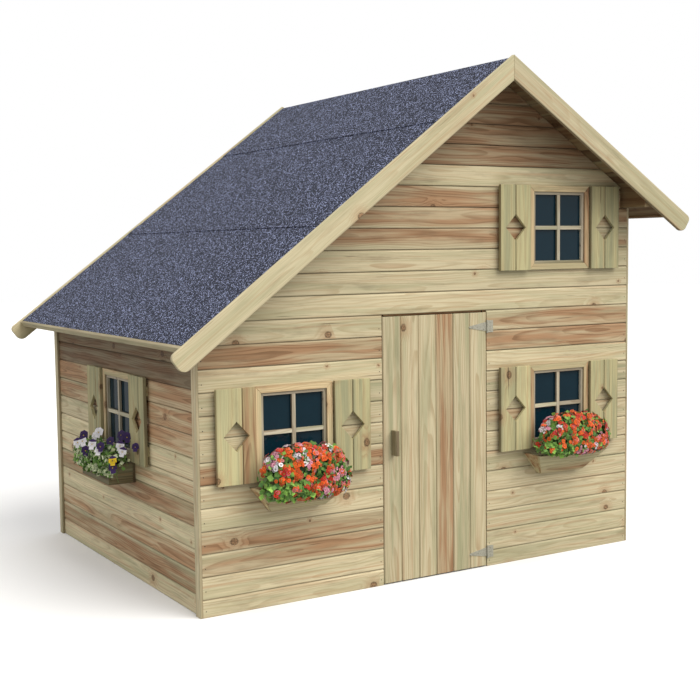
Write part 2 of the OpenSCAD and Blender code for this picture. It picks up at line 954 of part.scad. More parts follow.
module soil_fill() {
    box_solid(box_wall + 0.6, box_wall + 0.6, soil_drop);
}

module flower_box_front_left() {
    color("tan") placed() on_front(window_left_x, box_z) flower_box();
}

module flower_box_front_right() {
    color("tan") placed() on_front(window_right_x, box_z) flower_box();
}

// The side window's box is a plain trough of five boards
module side_box_shell() {
    w = side_box_w;
    d = side_box_d;
    h = side_box_h;
    t = box_wall;
    j = 0.3;
    translate([-w / 2, -gap - t, 0]) cube([w, t, h]);
    translate([-w / 2, -gap - d, 0]) cube([w, t, h]);
    for (side = [0, 1]) mirror([side, 0, 0])
        translate([w / 2 - t, -gap - d + t + j, 0]) cube([t, d - 2 * t - 2 * j, h]);
    translate([-w / 2 + t + j, -gap - d + t + j, 0]) cube([w - 2 * t - 2 * j, d - 2 * t - 2 * j, t]);
}

module flower_box_side() {
    color("tan") placed() on_low_side(window_side_y, side_box_z) side_box_shell();
}

module potting_soil() {
    t = box_wall + 0.6;
    color("saddlebrown") placed() {
        on_front(window_left_x, box_z) soil_fill();
        on_front(window_right_x, box_z) soil_fill();
        on_low_side(window_side_y, side_box_z)
            translate([-side_box_w / 2 + t, -gap - side_box_d + t, t])
                cube([side_box_w - 2 * t, side_box_d - 2 * t, side_box_h - t - soil_drop]);
    }
}

// Plain closed solid for a planting: a rounded mass above the rim, trails that hang before the box,
// and a neck that stands in the soil
module plant_mass(w, h, rim, out, neck_d, trail_w, trail_low) {
    r = plants_d / 2;
    back = shutter_t + batten_back + 2;
    squat = min(1, h / plants_d);
    hull() for (side = [-1, 1]) {
        translate([side * (w / 2 - r), -r - back, rim + gap + r * squat])
            scale([1, 1, squat]) sphere(r, $fn = 20);
        translate([side * (w / 2 - r) * 0.55, -r - back, rim + h - r * 0.8]) sphere(r * 0.8, $fn = 20);
    }
    hull() for (side = [-1, 1], z = [trail_low + trail_r, rim + trail_r])
        translate([side * (trail_w / 2 - trail_r), -out - 3 - trail_r, z]) sphere(trail_r, $fn = 12);
    translate([-neck_w / 2, -back - 8 - neck_d, rim - soil_drop + fit])
        cube([neck_w, neck_d, soil_drop + r]);
}

plants_d = 148;
trail_r = 24;
neck_w = 240;

module flowers_front_left() {
    color("orangered") placed() on_front(window_left_x - 10, box_z)
        plant_mass(462, 190, box_h, box_rim_d, 44, 380, 37);
}

module flowers_front_right() {
    color("orangered") placed() on_front(window_right_x + 2, box_z)
        plant_mass(470, 206, box_h, box_rim_d, 44, 380, 78);
}

module flowers_side() {
    color("indigo") placed() on_low_side(window_side_y - 20, side_box_z)
        plant_mass(580, 132, side_box_h, side_box_d, 60, 420, 32);
}

floor_joists();
floor_boards();
front_cladding();
back_cladding();
low_side_cladding();
high_side_cladding();
front_studs();
back_studs();
low_side_studs();
high_side_studs();
corner_strips();
door_boards();
door_ledges();
door_brace();
door_handle();
hinge_leaves();
hinge_straps();
hinge_pins();
hinge_leaf_screws();
hinge_strap_screws();
casing_front_left();
casing_front_right();
casing_front_upper();
casing_side();
sash_front_left();
sash_front_right();
sash_front_upper();
sash_side();
window_panes();
shutter_boards_front_left();
shutter_boards_front_right();
shutter_boards_front_upper();
shutter_boards_side();
shutter_battens();
rafters();
ridge_board();
high_wall_plate();
roof_boards_long();
roof_boards_short();
felt_eave_long();
felt_middle_long();
felt_ridge();
felt_eave_short();
verge_boards_front();
verge_boards_back();
eave_trims();
flower_box_front_left();
flower_box_front_right();
flower_box_side();
potting_soil();
flowers_front_left();
flowers_front_right();
flowers_side();
deck_joists();
deck_boards();
ladder_stiles();
ladder_rungs();
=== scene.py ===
import json
import math

import bmesh
import bpy
import numpy as np
from bpy.props import FloatProperty, FloatVectorProperty, IntProperty, PointerProperty
from mathutils import Matrix, Vector

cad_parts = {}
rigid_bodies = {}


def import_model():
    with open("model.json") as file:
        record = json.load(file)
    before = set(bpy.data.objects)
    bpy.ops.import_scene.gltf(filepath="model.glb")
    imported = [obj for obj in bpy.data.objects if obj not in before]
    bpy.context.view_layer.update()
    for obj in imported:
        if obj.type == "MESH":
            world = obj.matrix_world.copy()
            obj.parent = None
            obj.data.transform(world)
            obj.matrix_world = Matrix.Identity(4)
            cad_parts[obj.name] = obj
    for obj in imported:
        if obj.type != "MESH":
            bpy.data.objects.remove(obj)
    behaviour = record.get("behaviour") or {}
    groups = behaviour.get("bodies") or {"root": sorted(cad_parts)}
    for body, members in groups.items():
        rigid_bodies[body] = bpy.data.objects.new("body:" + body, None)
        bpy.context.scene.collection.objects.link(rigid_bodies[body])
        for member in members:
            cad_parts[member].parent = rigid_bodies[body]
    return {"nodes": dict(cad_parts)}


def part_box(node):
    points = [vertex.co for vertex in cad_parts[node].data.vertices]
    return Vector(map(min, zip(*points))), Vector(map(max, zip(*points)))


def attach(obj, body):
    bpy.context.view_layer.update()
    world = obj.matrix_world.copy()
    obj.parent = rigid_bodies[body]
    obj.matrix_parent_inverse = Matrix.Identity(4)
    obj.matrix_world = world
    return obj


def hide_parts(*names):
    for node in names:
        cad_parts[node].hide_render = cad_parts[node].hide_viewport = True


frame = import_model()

bl_info = {
    "name": "Wooden Playhouse",
    "version": (1, 0, 0),
    "blender": (4, 5, 0),
    "location": "View3D > Sidebar > Playhouse",
    "description": "Boarded playhouse with felt roof, shuttered windows, a plank door and planted flower boxes",
    "category": "Object",
}

# Rows of wall boards, in metres
FIRST_ROW, ROW_PITCH = 0.076, 0.095
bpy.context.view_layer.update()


def srgb(*levels):
    """A colour given as 0 to 255 values, made linear."""
    shares = [level / 255 for level in levels]
    return tuple(c / 12.92 if c <= 0.04045 else ((c + 0.055) / 1.055) ** 2.4 for c in shares)


def colour_property(name, words, rgb):
    return FloatVectorProperty(
        name=name, description=words, default=srgb(*rgb), size=3, min=0, max=1, subtype="COLOR"
    )


def length_property(name, words, size, least=0.0):
    return FloatProperty(name=name, description=words, default=size, min=least, unit="LENGTH")


def count_property(name, words, count, least=0, most=3000):
    return IntProperty(name=name, description=words, default=count, min=least, max=most)


def amount_property(name, words, amount, most=100.0):
    return FloatProperty(name=name, description=words, default=amount, min=0, max=most)


# ---- Settings ----


class PlayhouseTimber(bpy.types.PropertyGroup):
    pale: colour_property("Sapwood", "Pale outer wood of a board", (206, 193, 158))
    grain: colour_property("Late wood", "Darker line of each year's growth", (168, 142, 104))
    heart: colour_property("Heartwood", "Reddish wood round the middle of the log", (174, 132, 96))
    green: colour_property("Preservative", "Green cast left by pressure treatment", (174, 172, 134))
    knot: colour_property("Knot", "Middle of a knot", (98, 70, 44))
    ring: length_property("Ring spacing", "Width of one year's growth", 0.0072, 0.001)
    knot_gap: length_property("Knot spacing", "Usual distance between knots", 0.25, 0.05)
    edge: length_property("Rounded edge", "Radius on the boards' edges", 0.0012, 0.0002)
    seed: count_property("Board choice", "Picks which board goes where", 7)


class PlayhouseRoof(bpy.types.PropertyGroup):
    felt: colour_property("Felt", "Mineral grains on the roofing felt", (15, 24, 54))
    fleck: colour_property("Light grains", "Pale grains scattered in the felt", (166, 176, 214))
    grit: length_property("Grain size", "Size of the felt's mineral grains", 0.0036, 0.001)


class PlayhouseFittings(bpy.types.PropertyGroup):
    zinc: colour_property("Zinc", "Galvanised hinges and nails", (184, 181, 164))
    # The pane colour is dark blue-green as painted shade of the dim room behind the windows
    pane_shade: colour_property("Pane", "Tint of the window panes", (20, 50, 63))
    soil: colour_property("Soil", "Potting compost", (52, 38, 28))


class PlayhousePlants(bpy.types.PropertyGroup):
    orange: colour_property("Orange petals", "Most of the front flowers", (244, 98, 28))
    red: colour_property("Red petals", "Deeper front flowers", (216, 44, 30))
    pink: colour_property("Pink petals", "Pink front flowers", (236, 160, 180))
    white: colour_property("White petals", "White petals, front and side", (242, 238, 240))
    yellow: colour_property("Yellow petals", "Yellow petals, side", (242, 204, 34))
    purple: colour_property("Purple petals", "Pansies' dark petals", (54, 26, 86))
    leaf: colour_property("Leaf", "Fresh leaves", (138, 182, 78))
    leaf_dark: colour_property("Old leaf", "Leaves inside the planting", (64, 104, 50))
    leaf_pale: colour_property("Pale leaf", "Pansies' cream-edged leaves", (214, 222, 178))
    bloom: length_property("Flower size", "Radius of one small front flower", 0.0074, 0.004)
    blooms: count_property("Flower heads", "Heads of small flowers in each front box", 170, 10, 300)
    leaves: count_property("Leaves", "Leaves in each front box", 1100, 10)
    side_leaves: count_property("Side leaves", "Leaves in the side box", 1300, 10)
    seed: count_property("Arrangement", "Picks where flowers and leaves grow", 11)


class PlayhouseStage(bpy.types.PropertyGroup):
    floor: colour_property("Floor", "Plain studio floor", (246, 246, 246))
    bounce: amount_property("Floor bounce", "Share of light the floor sends back up", 0.3, 1)
    ambient: amount_property("Soft light", "Light from all round", 0.85)
    key: amount_property("Key light", "Strength of the sun lamp", 2.7)


SETTINGS = {
    "playhouse_timber": PlayhouseTimber,
    "playhouse_roof": PlayhouseRoof,
    "playhouse_fittings": PlayhouseFittings,
    "playhouse_plants": PlayhousePlants,
    "playhouse_stage": PlayhouseStage,
}


# ---- Mesh helpers ----


def deselect():
    if bpy.context.object and bpy.context.object.mode != "OBJECT":
        bpy.ops.object.mode_set(mode="OBJECT")
    bpy.ops.object.select_all(action="DESELECT")


def activate(piece):
    deselect()
    piece.select_set(True)
    bpy.context.view_layer.objects.active = piece


def apply_place():
    bpy.ops.object.transform_apply(location=True, rotation=True, scale=True)


def apply_all(piece):
    activate(piece)
    for modifier in list(piece.modifiers):
        bpy.ops.object.modifier_apply(modifier=modifier.name)


def link_mesh(name, mesh):
    piece = bpy.data.objects.new(name, mesh)
    bpy.context.scene.collection.objects.link(piece)
    return piece


def merged_copy(node, name):
    """A copy of a CAD node with its loose triangles merged back into clean faces."""
    piece = link_mesh(name, frame["nodes"][node].data.copy())
    piece.data.materials.clear()
    activate(piece)
    bpy.ops.object.mode_set(mode="EDIT")
    bpy.ops.mesh.select_all(action="SELECT")
    bpy.ops.mesh.remove_doubles(threshold=0.00001)
    bpy.ops.mesh.dissolve_limited(angle_limit=math.radians(0.5))
    bpy.ops.object.mode_set(mode="OBJECT")
    return piece


def round_edges(piece, width, segments=2):
    bevel = piece.modifiers.new("edges", "BEVEL")
    bevel.width = width
    bevel.segments = segments
    bevel.limit_method = "ANGLE"
    bevel.angle_limit = math.radians(28)
    apply_all(piece)


def positions(mesh):
    co = np.empty(len(mesh.vertices) * 3)
    mesh.vertices.foreach_get("co", co)
    return co.reshape(-1, 3)


def islands(mesh):
    """Vertex numbers of each loose board, in an order set by where the boards lie."""
    ends = np.empty(len(mesh.edges) * 2, int)
    mesh.edges.foreach_get("vertices", ends)
    ends = ends.reshape(-1, 2)
    label = np.arange(len(mesh.vertices))
    while True:
        low = np.minimum(label[ends[:, 0]], label[ends[:, 1]])
        new = label.copy()
        np.minimum.at(new, ends[:, 0], low)
        np.minimum.at(new, ends[:, 1], low)
        new = new[new]
        if (new == label).all():
            break
        label = new
    co = positions(mesh)
    groups = [np.where(label == k)[0] for k in np.unique(label)]
    groups.sort(key=lambda g: tuple(np.round(co[g].mean(0)[[2, 0, 1]], 3)))
    return groups, ends, label


def board_axes(co, group, ends, label):
    """Along, across and through the board: its longest edge, then the widest way square to it."""
    own = ends[label[ends[:, 0]] == label[group[0]]]
    runs = co[own[:, 1]] - co[own[:, 0]]
    size = np.linalg.norm(runs, axis=1)
    along = runs[size.argmax()] / size.max()
    along = along * np.sign(along[np.abs(along).argmax()])
    flat = co[group] - co[group].mean(0)
    flat = flat - np.outer(flat @ along, along)
    side = np.linalg.eigh(flat.T @ flat)[1][:, 2]
    side = side - along * (side @ along)
    side = side / np.linalg.norm(side) * np.sign(side[np.abs(side).argmax()])
    return along, side, np.cross(along, side)


def store(mesh, name, kind, values):
    layer = mesh.attributes.new(name, kind, "POINT")
    field = "vector" if kind == "FLOAT_VECTOR" else "value"
    layer.data.foreach_set(field, np.asarray(values, np.float32).ravel())


# How light, how red and how green a board is
TONES = {
    # R and D are the tones of the top rows: dark partly from the boards' own colour, partly as painted shade
    # under the roof overhang
    "p": (0.85, 0.1, 0.45), "m": (0.62, 0.34, 0.5), "r": (0.5, 0.78, 0.35), "R": (-0.05, 1.0, 0.3),
    "g": (0.42, 0.1, 1.0), "D": (-1.0, 1.7, 0.0), "b": (0.1, 0.62, 0.9),
}
# One letter for each row of boards, from the ground up: beside the door, and then over it
ROWS = {
    # The top rows, R over the door and D on the low side, are dark partly from the boards' own colour and
    # partly as painted shade under the roof overhang
    "front_cladding": ("pprrpmrmmgprm" + "pmmrrrpRRRR", "mpmpmmmmmgprr" + "pmmrrrpRRRR"),
    "low_side_cladding": ("mrbbrbmrrbbDD", "mbrmbmrbbbDDD"),
}
# One letter for each upright board, from the left
BOARDS = {
    "door_boards": "gmmrgm",
    "shutter_boards_front_left": "prgg", "shutter_boards_front_right": "gpgg",
    "shutter_boards_front_upper": "gggg", "shutter_boards_side": "gggg",
    "casing_front_left": "pppp", "casing_front_right": "mrmm",
    "casing_front_upper": "mmrm", "casing_side": "mmmm",
    "corner_strips": "pm", "verge_boards_front": "pm", "verge_boards_back": "pp", "eave_trims": "mr",
}


def board_row(height):
    return 0 if height < FIRST_ROW else 1 + int((height - FIRST_ROW) / ROW_PITCH)


def row_tone(node, middle, draw):
    """The tone of a wall board, from its row and from which side of the wall it is on."""
    across = 0 if node == "front_cladding" else 1
    letters = ROWS[node][0 if middle[across] < 0 else 1]
    tone = np.array(TONES[letters[min(board_row(middle[2]), len(letters) - 1)]])
    return tone + (draw[3:6] - 0.5) * 0.2


def lay_grain(piece, seed, red=0.5, node=""):
    """Gives each board its own grain direction, and its own place in the log."""
    mesh = piece.data
    co = positions(mesh)
    groups, ends, label = islands(mesh)
    rng = np.random.default_rng(seed)
    grain = np.zeros_like(co)
    board = np.zeros_like(co)
    edge = np.zeros(len(co))
    for k, group in enumerate(groups):
        draw = rng.random(6)
        frame_axes = np.array(board_axes(co, group, ends, label))
        own = (co[group] - (co[group].min(0) + co[group].max(0)) / 2) @ frame_axes.T
        grain[group] = own + [draw[0] * 40, (draw[1] - 0.5) * 0.07, 0.016 + draw[2] * 0.05]
        edge[group] = own[:, 1] / np.abs(own[:, 1]).max()
        board[group] = [draw[3], draw[4] ** (1.6 - red), draw[5]]
        if node in ROWS:
            board[group] = row_tone(node, co[group].mean(0), draw)
        if node in BOARDS:
            board[group] = np.array(TONES[BOARDS[node][k % len(BOARDS[node])]]) + (draw[3:6] - 0.5) * 0.15
    store(mesh, "grain", "FLOAT_VECTOR", grain)
    store(mesh, "board", "FLOAT_VECTOR", board)
    store(mesh, "edge", "FLOAT", edge)


def coat(node, look):
    """Gives a CAD node that keeps its own shape a new material."""
    materials = frame["nodes"][node].data.materials
    materials.clear()
    materials.append(look)


def timber_piece(node, kind, seed, edge=None, red=0.5, body="house"):
    """One CAD node of boards or battens, finished as planed timber."""
    settings = bpy.context.scene.playhouse_timber
    piece = merged_copy(node, node + "_timber")
    round_edges(piece, edge or settings.edge)
    lay_grain(piece, settings.seed * 1000 + seed, red, node)
    piece.data.materials.append(timber_look(kind))
    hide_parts(node)
    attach(piece, body)


# ---- Shader helpers ----


def add_node(tree, kind, **facts):
    """Adds a shader node. Facts name its properties, or its inputs as in_0, in_Scale."""
    made = tree.nodes.new("ShaderNode" + kind)
    for key, value in facts.items():
        if not key.startswith("in_"):
            setattr(made, key, value)
    for key, value in facts.items():
        if key.startswith("in_"):
            name = key[3:].replace("_", " ")
            socket = made.inputs[int(name)] if name.isdigit() else made.inputs[name]
            if isinstance(value, bpy.types.NodeSocket):
                tree.links.new(value, socket)
            else:
                socket.default_value = value
    return made


def sums(tree, operation, a, b=0.0, c=0.0, clamp=False):
    return add_node(tree, "Math", operation=operation, use_clamp=clamp, in_0=a, in_1=b, in_2=c).outputs[0]


def times(tree, a, b, clamp=False):
    return sums(tree, "MULTIPLY", a, b, clamp=clamp)


def less(tree, a, b):
    return sums(tree, "SUBTRACT", a, b)


def rest(tree, value):
    """What the value leaves of 1."""
    return sums(tree, "SUBTRACT", 1.0, value)


def line(tree, value, slope, base):
    """The value times the slope, plus the base."""
    return sums(tree, "MULTIPLY_ADD", value, slope, base)


def blend_colour(tree, factor, a, b):
    mixer = tree.nodes.new("ShaderNodeMix")
    mixer.data_type = "RGBA"
    for socket, value in ((mixer.inputs[0], factor), (mixer.inputs[6], a), (mixer.inputs[7], b)):
        if isinstance(value, bpy.types.NodeSocket):
            tree.links.new(value, socket)
        else:
            socket.default_value = value if isinstance(value, float) else (*value[:3], 1.0)
    return mixer.outputs[2]


def ease(tree, value, low, high):
    """0 below low, 1 above high, smooth between."""
    step = add_node(tree, "MapRange", interpolation_type="SMOOTHSTEP", in_0=value, in_1=low, in_2=high)
    return step.outputs[0]


def new_group(name, takes, gives):
    group = bpy.data.node_groups.new(name, "ShaderNodeTree")
    for label, kind, default in takes:
        socket = group.interface.new_socket(name=label, in_out="INPUT", socket_type=kind)
        if default is not None:
            socket.default_value = default
    for label, kind in gives:
        group.interface.new_socket(name=label, in_out="OUTPUT", socket_type=kind)
    return group, group.nodes.new("NodeGroupInput"), group.nodes.new("NodeGroupOutput")


def new_material(name):
    material = bpy.data.materials.new(name)
    material.use_nodes = True
    tree = material.node_tree
    tree.nodes.clear()
    shader = tree.nodes.new("ShaderNodeBsdfPrincipled")
    out = tree.nodes.new("ShaderNodeOutputMaterial")
    tree.links.new(shader.outputs[0], out.inputs[0])
    return material, tree, shader


def bump_into(tree, shader, height, distance, strength=1.0):
    bump = add_node(tree, "Bump", in_Strength=strength, in_Distance=distance, in_Height=height)
    tree.links.new(bump.outputs[0], shader.inputs["Normal"])


def scaled(tree, vector, scale):
    return add_node(tree, "VectorMath", operation="MULTIPLY", in_0=vector, in_1=scale).outputs[0]


def dimmed(tree, colour, tone):
    return add_node(tree, "VectorMath", operation="SCALE", in_0=colour, in_Scale=tone).outputs[0]


def object_place(tree):
    return add_node(tree, "TexCoord").outputs["Object"]


def noise(tree, vector, scale, detail=2.0, rough=0.5):
    return add_node(
        tree, "TexNoise", in_Vector=vector, in_Scale=scale, in_Detail=detail, in_Roughness=rough
    ).outputs[0]


# ---- Shared effects ----


# Colour of the weather stains, and of the painted shade along each board's long edges
DIRT_AND_JOINT_SHADE = (0.13, 0.09, 0.05)


def wood_grain_group():
    """Year rings cut by the board's face, heartwood, knots and fibres."""
    if "wood_grain" in bpy.data.node_groups:
        return bpy.data.node_groups["wood_grain"]
    colour, number, vector = "NodeSocketColor", "NodeSocketFloat", "NodeSocketVector"
    takes = [
        ("Grain", vector, None), ("Board", vector, None), ("Edge", number, 0.0),
        ("Pale", colour, None), ("Late Wood", colour, None), ("Heartwood", colour, None),
        ("Green", colour, None), ("Knot", colour, None),
        ("Ring Spacing", number, 0.005), ("Knot Spacing", number, 0.3), ("Weather", number, 0.3),
        # strength of the painted shade at the boards' long edges
        ("Edge Shade", number, 1.0),
    ]
    tree, source, out = new_group(
        "wood_grain", takes, [("Color", colour), ("Roughness", number), ("Height", number)]
    )
    take = source.outputs

    def fibres(along, across, detail=3.0, rough=0.5):
        """Noise drawn out along the grain."""
        return noise(tree, scaled(tree, take["Grain"], (along, across, across)), 1.0, detail, rough)

    place = add_node(tree, "SeparateXYZ", in_0=take["Grain"]).outputs
    luck = add_node(tree, "SeparateXYZ", in_0=take["Board"]).outputs

    # knots, one to a cell of the face
    long = times(tree, place[0], 0.8)
    flat = add_node(tree, "CombineXYZ", in_0=long, in_1=place[1], in_2=times(tree, luck[0], 9.0))
    cell = add_node(tree, "VectorMath", operation="DIVIDE", in_0=flat.outputs[0], in_1=take["Knot Spacing"])
    knots = add_node(
        tree, "TexVoronoi", voronoi_dimensions="2D", feature="F1", in_Vector=cell.outputs[0], in_Scale=1.0
    )
    away = times(tree, knots.outputs["Distance"], take["Knot Spacing"])
    wobble = noise(tree, take["Grain"], 120.0, 3.0)
    away = line(tree, less(tree, wobble, 0.5), 0.018, away)
    chance = add_node(tree, "SeparateXYZ", in_0=knots.outputs["Color"]).outputs
    there = ease(tree, chance[0], 0.36, 0.4)  # some places in the board have no knot
    radius = line(tree, sums(tree, "POWER", chance[1], 1.5), 0.0095, 0.0038)
    ratio = sums(tree, "DIVIDE", away, radius)
    core = times(tree, rest(tree, ease(tree, ratio, 0.75, 1.1)), there)
    off_rim = sums(tree, "ABSOLUTE", less(tree, ratio, 1.05))
    rim = times(tree, rest(tree, ease(tree, off_rim, 0.05, 0.35)), there)
    halo = times(tree, rest(tree, ease(tree, ratio, 1.0, 5.0)), there)

    # year rings, round the middle of the log and out round each knot
    drift = fibres(1.3, 9.0, 2.0)
    drift = times(tree, less(tree, drift, 0.5), 0.06)
    across = sums(tree, "POWER", place[1], 2.0)
    depth = sums(tree, "POWER", place[2], 2.0)
    ring = sums(tree, "SQRT", sums(tree, "ADD", across, depth))
    ring = sums(tree, "ADD", sums(tree, "ADD", ring, drift), times(tree, halo, 0.011))
    turn = sums(tree, "FRACT", sums(tree, "DIVIDE", ring, take["Ring Spacing"]))
    late = times(tree, ease(tree, turn, 0.35, 0.92), rest(tree, ease(tree, turn, 0.93, 1.0)))

    # heartwood, as far from the middle as the board's own draw says
    fibre = fibres(7.0, 330.0, rough=0.6)
    broad = fibres(2.2, 34.0)
    reach = line(tree, luck[1], 0.125, -0.024)
    heart = rest(tree, ease(tree, less(tree, ring, reach), -0.009, 0.009))
    heart = times(tree, heart, line(tree, ease(tree, broad, 0.36, 0.62), 0.65, 0.35))

    # colours, from the pale wood up: late wood, streaks, preservative, heart, knots, splits, weather stains and
    # painted shade at the boards' long edges
    late = times(tree, late, line(tree, broad, 1.5, 0.1), clamp=True)
    shade = blend_colour(tree, times(tree, late, 0.55), take["Pale"], take["Late Wood"])
    streak = fibres(1.1, 62.0, rough=0.6)
    streak = times(tree, ease(tree, streak, 0.5, 0.72), line(tree, luck[2], -0.4, 0.7))
    shade = blend_colour(tree, streak, shade, take["Heartwood"])
    cast = fibres(1.3, 25.0, rough=0.6)
    cast = times(tree, ease(tree, cast, 0.42, 0.66), line(tree, luck[2], 0.75, 0.12))
    shade = blend_colour(tree, cast, shade, take["Green"])
    shade = blend_colour(tree, times(tree, heart, 0.9), shade, take["Heartwood"])
    shade = blend_colour(tree, times(tree, late, times(tree, heart, 0.45)), shade, take["Knot"])
    shade = blend_colour(tree, times(tree, halo, 0.4), shade, take["Heartwood"])
    fleck = noise(tree, take["Grain"], 260.0, 2.0)
    dark = add_node(tree, "HueSaturation", in_Value=0.45, in_Color=take["Knot"]).outputs[0]
    middle = blend_colour(tree, ease(tree, fleck, 0.3, 0.6), take["Heartwood"], take["Knot"])
    shade = blend_colour(tree, times(tree, core, 0.8), shade, middle)
    broken = times(tree, rim, ease(tree, wobble, 0.3, 0.6))
    shade = blend_colour(tree, times(tree, broken, 0.85), shade, dark)
    split = fibres(3.2, 110.0, 2.0)
    split = times(tree, ease(tree, split, 0.7, 0.78), 0.7)
    shade = blend_colour(tree, split, shade, dark)
    stain = fibres(4.0, 24.0, 4.0, 0.65)
    stain = times(tree, ease(tree, stain, 0.5, 0.78), take["Weather"])
    # painted shade: each board darkens towards its long edges, standing for the shadow in the joints between
    # boards
    joint_shade = ease(tree, sums(tree, "ABSOLUTE", take["Edge"]), 0.87, 1.0)
    joint_shade = times(tree, joint_shade, line(tree, broad, 1.1, -0.1))
    joint_shade = times(tree, joint_shade, take["Edge Shade"])
    shade = blend_colour(tree, sums(tree, "MAXIMUM", stain, joint_shade, clamp=True), shade, DIRT_AND_JOINT_SHADE)
    tone = line(tree, luck[0], 0.36, 0.74)
    tone = times(tree, tone, line(tree, fibre, 0.5, 0.75))
    tone = times(tree, tone, line(tree, cast, -0.12, 1.0))
    shade = dimmed(tree, shade, tone)

    rough = line(tree, fibre, 0.16, 0.56)
    rough = less(tree, rough, times(tree, core, 0.15))
    height = sums(tree, "ADD", times(tree, late, 0.45), times(tree, fibre, 0.55))
    height = less(tree, height, times(tree, rim, 0.8))
    for name, value in (("Color", shade), ("Roughness", rough), ("Height", height)):
        tree.links.new(value, out.inputs[name])
    return tree


def mottle_group():
    """Soft blotches with fine specks, for leaves, petals, zinc and soil."""
    if "mottle" in bpy.data.node_groups:
        return bpy.data.node_groups["mottle"]
    colour, number, vector = "NodeSocketColor", "NodeSocketFloat", "NodeSocketVector"
    takes = [
        ("Place", vector, None), ("Base", colour, None), ("Other", colour, None),
        ("Size", number, 0.01), ("Speck", number, 0.2),
    ]
    tree, source, out = new_group("mottle", takes, [("Color", colour), ("Height", number)])
    take = source.outputs
    spot = add_node(tree, "VectorMath", operation="DIVIDE", in_0=take["Place"], in_1=take["Size"]).outputs[0]
    blotch = noise(tree, spot, 1.0, 3.0, 0.6)
    speck = noise(tree, spot, 9.0, 2.0)
    shade = blend_colour(tree, ease(tree, blotch, 0.35, 0.68), take["Base"], take["Other"])
    dip = times(tree, less(tree, speck, 0.5), take["Speck"])
    shade = dimmed(tree, shade, sums(tree, "ADD", dip, 1.0))
    tree.links.new(shade, out.inputs["Color"])
    tree.links.new(line(tree, speck, 0.5, blotch), out.inputs["Height"])
    return tree


def mottled(tree, base, other, size, speck=0.2):
    """Puts the mottle effect in a material. Base and other are colours, or sockets that give one."""
    effect = tree.nodes.new("ShaderNodeGroup")
    effect.node_tree = mottle_group()
    tree.links.new(object_place(tree), effect.inputs["Place"])
    for name, value in (("Base", base), ("Other", other)):
        if isinstance(value, bpy.types.NodeSocket):
            tree.links.new(value, effect.inputs[name])
        else:
            effect.inputs[name].default_value = (*value, 1.0)
    effect.inputs["Size"].default_value = size
    effect.inputs["Speck"].default_value = speck
    return effect.outputs


# ---- Materials ----


# How each timber differs from plain new boards. Ring and knots widen the spacing in the settings. The edge
# darkening is painted shade along the boards' long edges.
NEW_BOARDS = {
    "pale": None, "heart": None, "lighten": 1.0, "weather": 0.25, "ring": 1.0, "knots": 1.0, "edge_shade": 1.0,
    "figure": 1.0,
}
TIMBERS = {
    "wall": {"weather": 0.35, "figure": 0.85},
    # The low side's boards are the wall's boards lightened, as painted light on the shaded side wall
    "side": {"lighten": 1.34, "weather": 0.35, "figure": 0.85},
    "trim": {"lighten": 1.06, "figure": 0.6},
    "door": {"weather": 0.2, "ring": 1.2, "knots": 2.0, "edge_shade": 0.3},
    # The handle is darkened as painted shade on its shaded side
    "handle": {"lighten": 0.6, "weather": 0.5},
    "casing": {"pale": (212, 190, 148), "ring": 0.8},
    "sash": {"pale": (210, 202, 180), "heart": (192, 174, 150), "weather": 0.3, "ring": 0.7},
    "shutter": {"pale": (196, 188, 142), "weather": 0.3, "ring": 1.2},
    # The roof boards, rafters, ridge board and wall plate are darkened as painted shade under the roof
    "roof": {"pale": (156, 132, 94), "heart": (122, 88, 58), "lighten": 0.75, "weather": 0.5},
    "verge": {"pale": (197, 186, 152), "weather": 0.2, "ring": 0.7, "knots": 1.6, "figure": 0.5},
    "framing": {"pale": (190, 168, 124), "weather": 0.3},
    "box": {"pale": (214, 204, 162), "lighten": 1.2},
    "side_box": {"pale": (112, 104, 76), "heart": (100, 84, 60), "weather": 0.5},
}


def timber_look(kind):
    """Planed softwood, made once for each kind of timber."""
    name = kind + "_timber"
    if name in bpy.data.materials:
        return bpy.data.materials[name]
    facts = {**NEW_BOARDS, **TIMBERS[kind]}
    settings = bpy.context.scene.playhouse_timber
    material, tree, shader = new_material(name)
    grain = add_node(tree, "Attribute", attribute_name="grain")
    board = add_node(tree, "Attribute", attribute_name="board")
    wood = tree.nodes.new("ShaderNodeGroup")
    wood.node_tree = wood_grain_group()
    tree.links.new(grain.outputs["Vector"], wood.inputs["Grain"])
    tree.links.new(board.outputs["Vector"], wood.inputs["Board"])
    tree.links.new(add_node(tree, "Attribute", attribute_name="edge").outputs["Fac"], wood.inputs["Edge"])
    pale = srgb(*facts["pale"]) if facts["pale"] else settings.pale
    heart = srgb(*facts["heart"]) if facts["heart"] else settings.heart
    late = [p + (g - p) * facts["figure"] for p, g in zip(pale, settings.grain)]
    colours = {
        "Pale": pale, "Late Wood": late, "Heartwood": heart, "Green": settings.green, "Knot": settings.knot,
    }
    for socket, colour in colours.items():
        wood.inputs[socket].default_value = (*(min(1.0, c * facts["lighten"]) for c in colour), 1.0)
    wood.inputs["Ring Spacing"].default_value = settings.ring * facts["ring"]
    wood.inputs["Knot Spacing"].default_value = settings.knot_gap * facts["knots"]
    # strength of the painted shade along the boards' long edges
    wood.inputs["Edge Shade"].default_value = facts["edge_shade"]
    wood.inputs["Weather"].default_value = facts["weather"]
    tree.links.new(wood.outputs["Color"], shader.inputs["Base Color"])
    tree.links.new(wood.outputs["Roughness"], shader.inputs["Roughness"])
    bump_into(tree, shader, wood.outputs["Height"], 0.0006, 0.55)
    shader.inputs["Specular IOR Level"].default_value = 0.2
    return material


